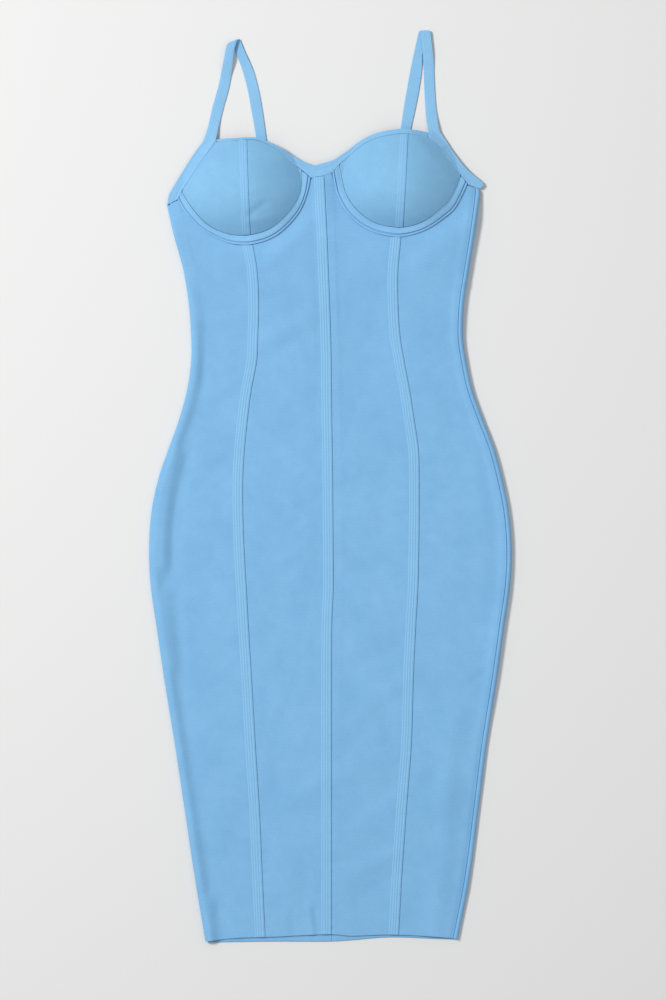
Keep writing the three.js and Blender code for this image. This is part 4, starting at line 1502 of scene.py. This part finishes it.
@dataclass(frozen=True)
class Strap:
    """A shoulder strap: one knit tape, up its front leg, over the fold and down its back leg."""

    node: str
    fold_radius: float
    fold_y: Point
    fold_left: Point
    fold_right: Point
    join: float
    cut: Cut
    front: Table
    back: Table
    wall: float = 1.6
    end_wall: float = 0.12
    play: float = 0.1
    settle: float = 30.0
    climb_from: float = 50.0
    climb_to: float = 20.0
    band_height: float = 0.5
    lap: float = 14.0
    full_past: float = 4.0
    side_loss: float = 0.35
    side_power: int = 5
    rib: float = 0.06
    ribs: int = 4
    rims: Rims = Rims(0.2, 0.5, 0.5, 0.5)
    rows: int = 90
    columns: int = 21
    fold_rows: int = 19

    def leg(self) -> tuple[Array, Array]:
        """Grid of the front leg's outer face and its thickness, from its end on the band to the fold.

        Its thickness grows from next to nothing on its band to the full. Its height goes from its band's to
        the surface and up to the fold, by smooth steps.

        Returns:
            The points, and the thickness at each.
        """
        places = np.linspace(0, len(self.front.rows) - 1, self.rows)
        corners = spline(np.array(self.front.rows, dtype=float), places)
        across = np.linspace(0, 1, self.columns)[:, None]
        x, y = np.moveaxis(blend(corners[:, None, :2], corners[:, None, 2:], across), -1, 0)
        thick = blend(self.end_wall, self.wall, smooth(self.join - self.lap, self.join + self.full_past, y))
        on_band = FORM.front(x, y) + self.band_height + thick
        lying = self.wall + self.play
        height = blend(on_band, lying, smooth(self.join, self.join + self.settle, y))
        climb = smooth(self.fold_y[1] - self.climb_from, self.fold_y[1] - self.climb_to, y)
        return stacked(x, y, height + (2 * self.fold_radius - lying) * climb), thick

    def rest(self) -> Array:
        """Grid of the fold and the back leg: half a circle in y and z, then cubics through the table.

        Returns:
            The points.
        """
        share = np.linspace(0, 1, self.fold_rows)
        angle = np.linspace(0.5, -0.5, self.fold_rows) * np.pi
        sunk, fold_z = self.fold_radius * (1 - np.cos(angle)), self.fold_radius * (1 + np.sin(angle))
        down_y = np.linspace(self.back.rows[-1][0], self.back.rows[0][0], self.rows)
        edges = []
        for name, top, ends in zip(("left", "right"), self.fold_y, (self.fold_left, self.fold_right)):
            fold = stacked(blend(*ends, share), top - sunk, fold_z)
            edges.append(np.concatenate([fold, stacked(self.back.at(name, down_y), down_y, 0.0)]))
        return blend(edges[0][:, None], edges[1][:, None], np.linspace(0, 1, self.columns)[:, None])

    def build(self, room: Workroom) -> None:
        """Make the strap, thinner towards both sides and a little thinner between its ribs.

        Args:
            room: Where the finishes are.
        """
        leg, leg_thickness = self.leg()
        rest = self.rest()
        thickness = np.concatenate([leg_thickness, np.full(rest.shape[:2], self.wall)])
        across = np.linspace(0, 1, self.columns)
        ribs = self.rib * (1 - np.cos(2 * np.pi * self.ribs * across))
        thin = (self.side_loss * np.abs(2 * across - 1) ** self.side_power + ribs) * thickness / self.wall
        wall = Wall(lifted(np.concatenate([leg, rest]), -thin), thickness - thin, self.rims)
        room.sheet(self.node, wall, Slot.STRAP)


@dataclass(frozen=True)
class Studio:
    """Pale floor, soft lights and a camera straight above the dress."""

    floor_half: float = 3.0
    floor_under: float = 0.0002
    floor_colour: Colour = (0.78, 0.78, 0.77)
    camera_height: float = 6.0
    frame_height: float = 1.2
    frame_middle: Point = (0.0036, -0.0165)
    sensor: float = 24.0
    sky: float = 0.385
    sky_colour: Colour = (0.97, 0.985, 1)

    def floor(self) -> None:
        """Lay the floor: one flat face just under the dress."""
        half = self.floor_half
        mesh = bpy.data.meshes.new("floor")
        corners = [(x * half, y * half, -self.floor_under) for x, y in ((-1, -1), (1, -1), (1, 1), (-1, 1))]
        mesh.from_pydata(corners, [], [(0, 1, 2, 3)])
        work = NodeWork("pale_floor")
        work.fill(work.shader, BaseColor=(*self.floor_colour, 1), Roughness=0.95)
        mesh.materials.append(work.material)
        floor = add_object("floor", mesh)

    def soft_light(self, name: str, place: tuple[float, float, float], size: float, power: float) -> None:
        """Hang a square soft light that points at the dress.

        Args:
            name: Its name.
            place: Where it hangs.
            size: Length of its side.
            power: Watts.
        """
        lamp = bpy.data.lights.new(name, "AREA")
        lamp.shape = "SQUARE"
        lamp.size = size
        lamp.energy = power
        holder = add_object(name, lamp)
        holder.location = place
        x, y, z = place
        holder.rotation_euler = (math.atan2(math.hypot(x, y), z), 0.0, math.atan2(x, -y))

    def camera(self) -> None:
        """Set the camera above the middle of the photograph's frame."""
        lens = bpy.data.cameras.new("camera")
        lens.sensor_fit = "VERTICAL"
        lens.sensor_height = self.sensor
        lens.lens = self.sensor * self.camera_height / self.frame_height
        holder = add_object("camera", lens)
        holder.location = (*self.frame_middle, self.camera_height)
        bpy.context.scene.camera = holder

    def build(self) -> None:
        """Set up the whole studio."""
        bpy.context.scene.view_settings.view_transform = "Standard"
        world = bpy.data.worlds.new("soft_sky")
        world.use_nodes = True
        sky = world.node_tree.nodes["Background"]
        sky.inputs["Color"].default_value = (*self.sky_colour, 1)
        sky.inputs["Strength"].default_value = self.sky
        bpy.context.scene.world = world
        self.floor()
        self.soft_light("key_light", (-2.25, 1.2, 3.25), 0.9, 120)
        self.soft_light("fill_light", (0.9, 0.0, 2.3), 2.2, 8)
        self.camera()


# Front legs run up to the fold, and back legs down from it, so their tables go from the low end.
LEG_NAMES = ("y", "left", "right")
LEG_CORNERS = ("leftX", "leftY", "rightX", "rightY")
LEFT_FRONT_LEG = Table(
    LEG_CORNERS,
    (
        (-161.2, 401.7, -149.6, 396.4),
        (-156.8, 407.4, -144.6, 403.4),
        (-151.8, 414.8, -137.4, 414.6),
        (-146.4, 431, -133.4, 431),
        (-141, 455, -127.3, 455),
        (-134, 480, -120.6, 480),
        (-128.5, 506, -116.5, 506),
        (-125.5, 522, -115, 522),
    ),
)
LEFT_BACK_LEG = Table(
    LEG_NAMES,
    (
        (322.9, -74, -61.6),
        (370, -81, -68.6),
        (416, -88.2, -75.8),
        (448, -93.8, -80.4),
        (476, -99, -85.5),
        (500, -105.4, -92),
        (521, -113.4, -101.2),
    ),
)
RIGHT_FRONT_LEG = Table(
    LEG_CORNERS,
    (
        (133.4, 403.4, 142.4, 409.3),
        (127.6, 410.6, 137.4, 417),
        (119.8, 419.2, 134.2, 421.8),
        (117.6, 428.6, 131.3, 428),
        (115.3, 442.4, 129, 442.4),
        (113.8, 463, 126.9, 463),
        (112.8, 485, 125.6, 485),
        (111.9, 507, 124.8, 507),
        (110.8, 524, 123.2, 524),
    ),
)
RIGHT_BACK_LEG = Table(
    LEG_NAMES,
    (
        (330.4, 67.6, 80.2),
        (385, 76.8, 89.6),
        (430, 84.8, 97.6),
        (455, 88.6, 103),
        (477, 92.4, 107.2),
        (498, 96.2, 110.2),
        (518, 100.2, 111.6),
    ),
)


CUPS = (
    Cup(
        "left",
        LEFT_STATIONS,
        6,
        ("cup_left_outer", "cup_left_inner"),
        (((-182, 343.9), (-177.6, 353)), ((-23, 369.3), (-33.6, 378))),
    ),
    Cup(
        "right",
        RIGHT_STATIONS,
        7,
        ("cup_right_inner", "cup_right_outer"),
        (((2.8, 375.2), (11.1, 385)), ((164.5, 362.1), (157.1, 372))),
    ),
)
STRAPS = (
    Strap(
        node="strap_left",
        fold_radius=3.8,
        fold_y=(532.8, 536.8),
        fold_left=(-124, -114.5),
        fold_right=(-112, -106),
        join=415,
        cut=Cut(0.0135, 0.367),
        front=LEFT_FRONT_LEG,
        back=LEFT_BACK_LEG,
    ),
    Strap(
        node="strap_right",
        fold_radius=2.2,
        fold_y=(546.6, 547),
        fold_left=(108.2, 106.2),
        fold_right=(120.8, 118),
        join=424,
        cut=Cut(0.0135, 0.365),
        front=RIGHT_FRONT_LEG,
        back=RIGHT_BACK_LEG,
    ),
)


def main() -> None:
    """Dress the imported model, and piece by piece."""
    logging.basicConfig(level=logging.INFO, format="%(name)s: %(message)s")
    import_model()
    room = Workroom()
    Studio().build()
    for part in (Body(), SeamTapes(), *CUPS, Bindings(), *STRAPS):
        part.build(room)


if __name__ == "__main__":
    main()
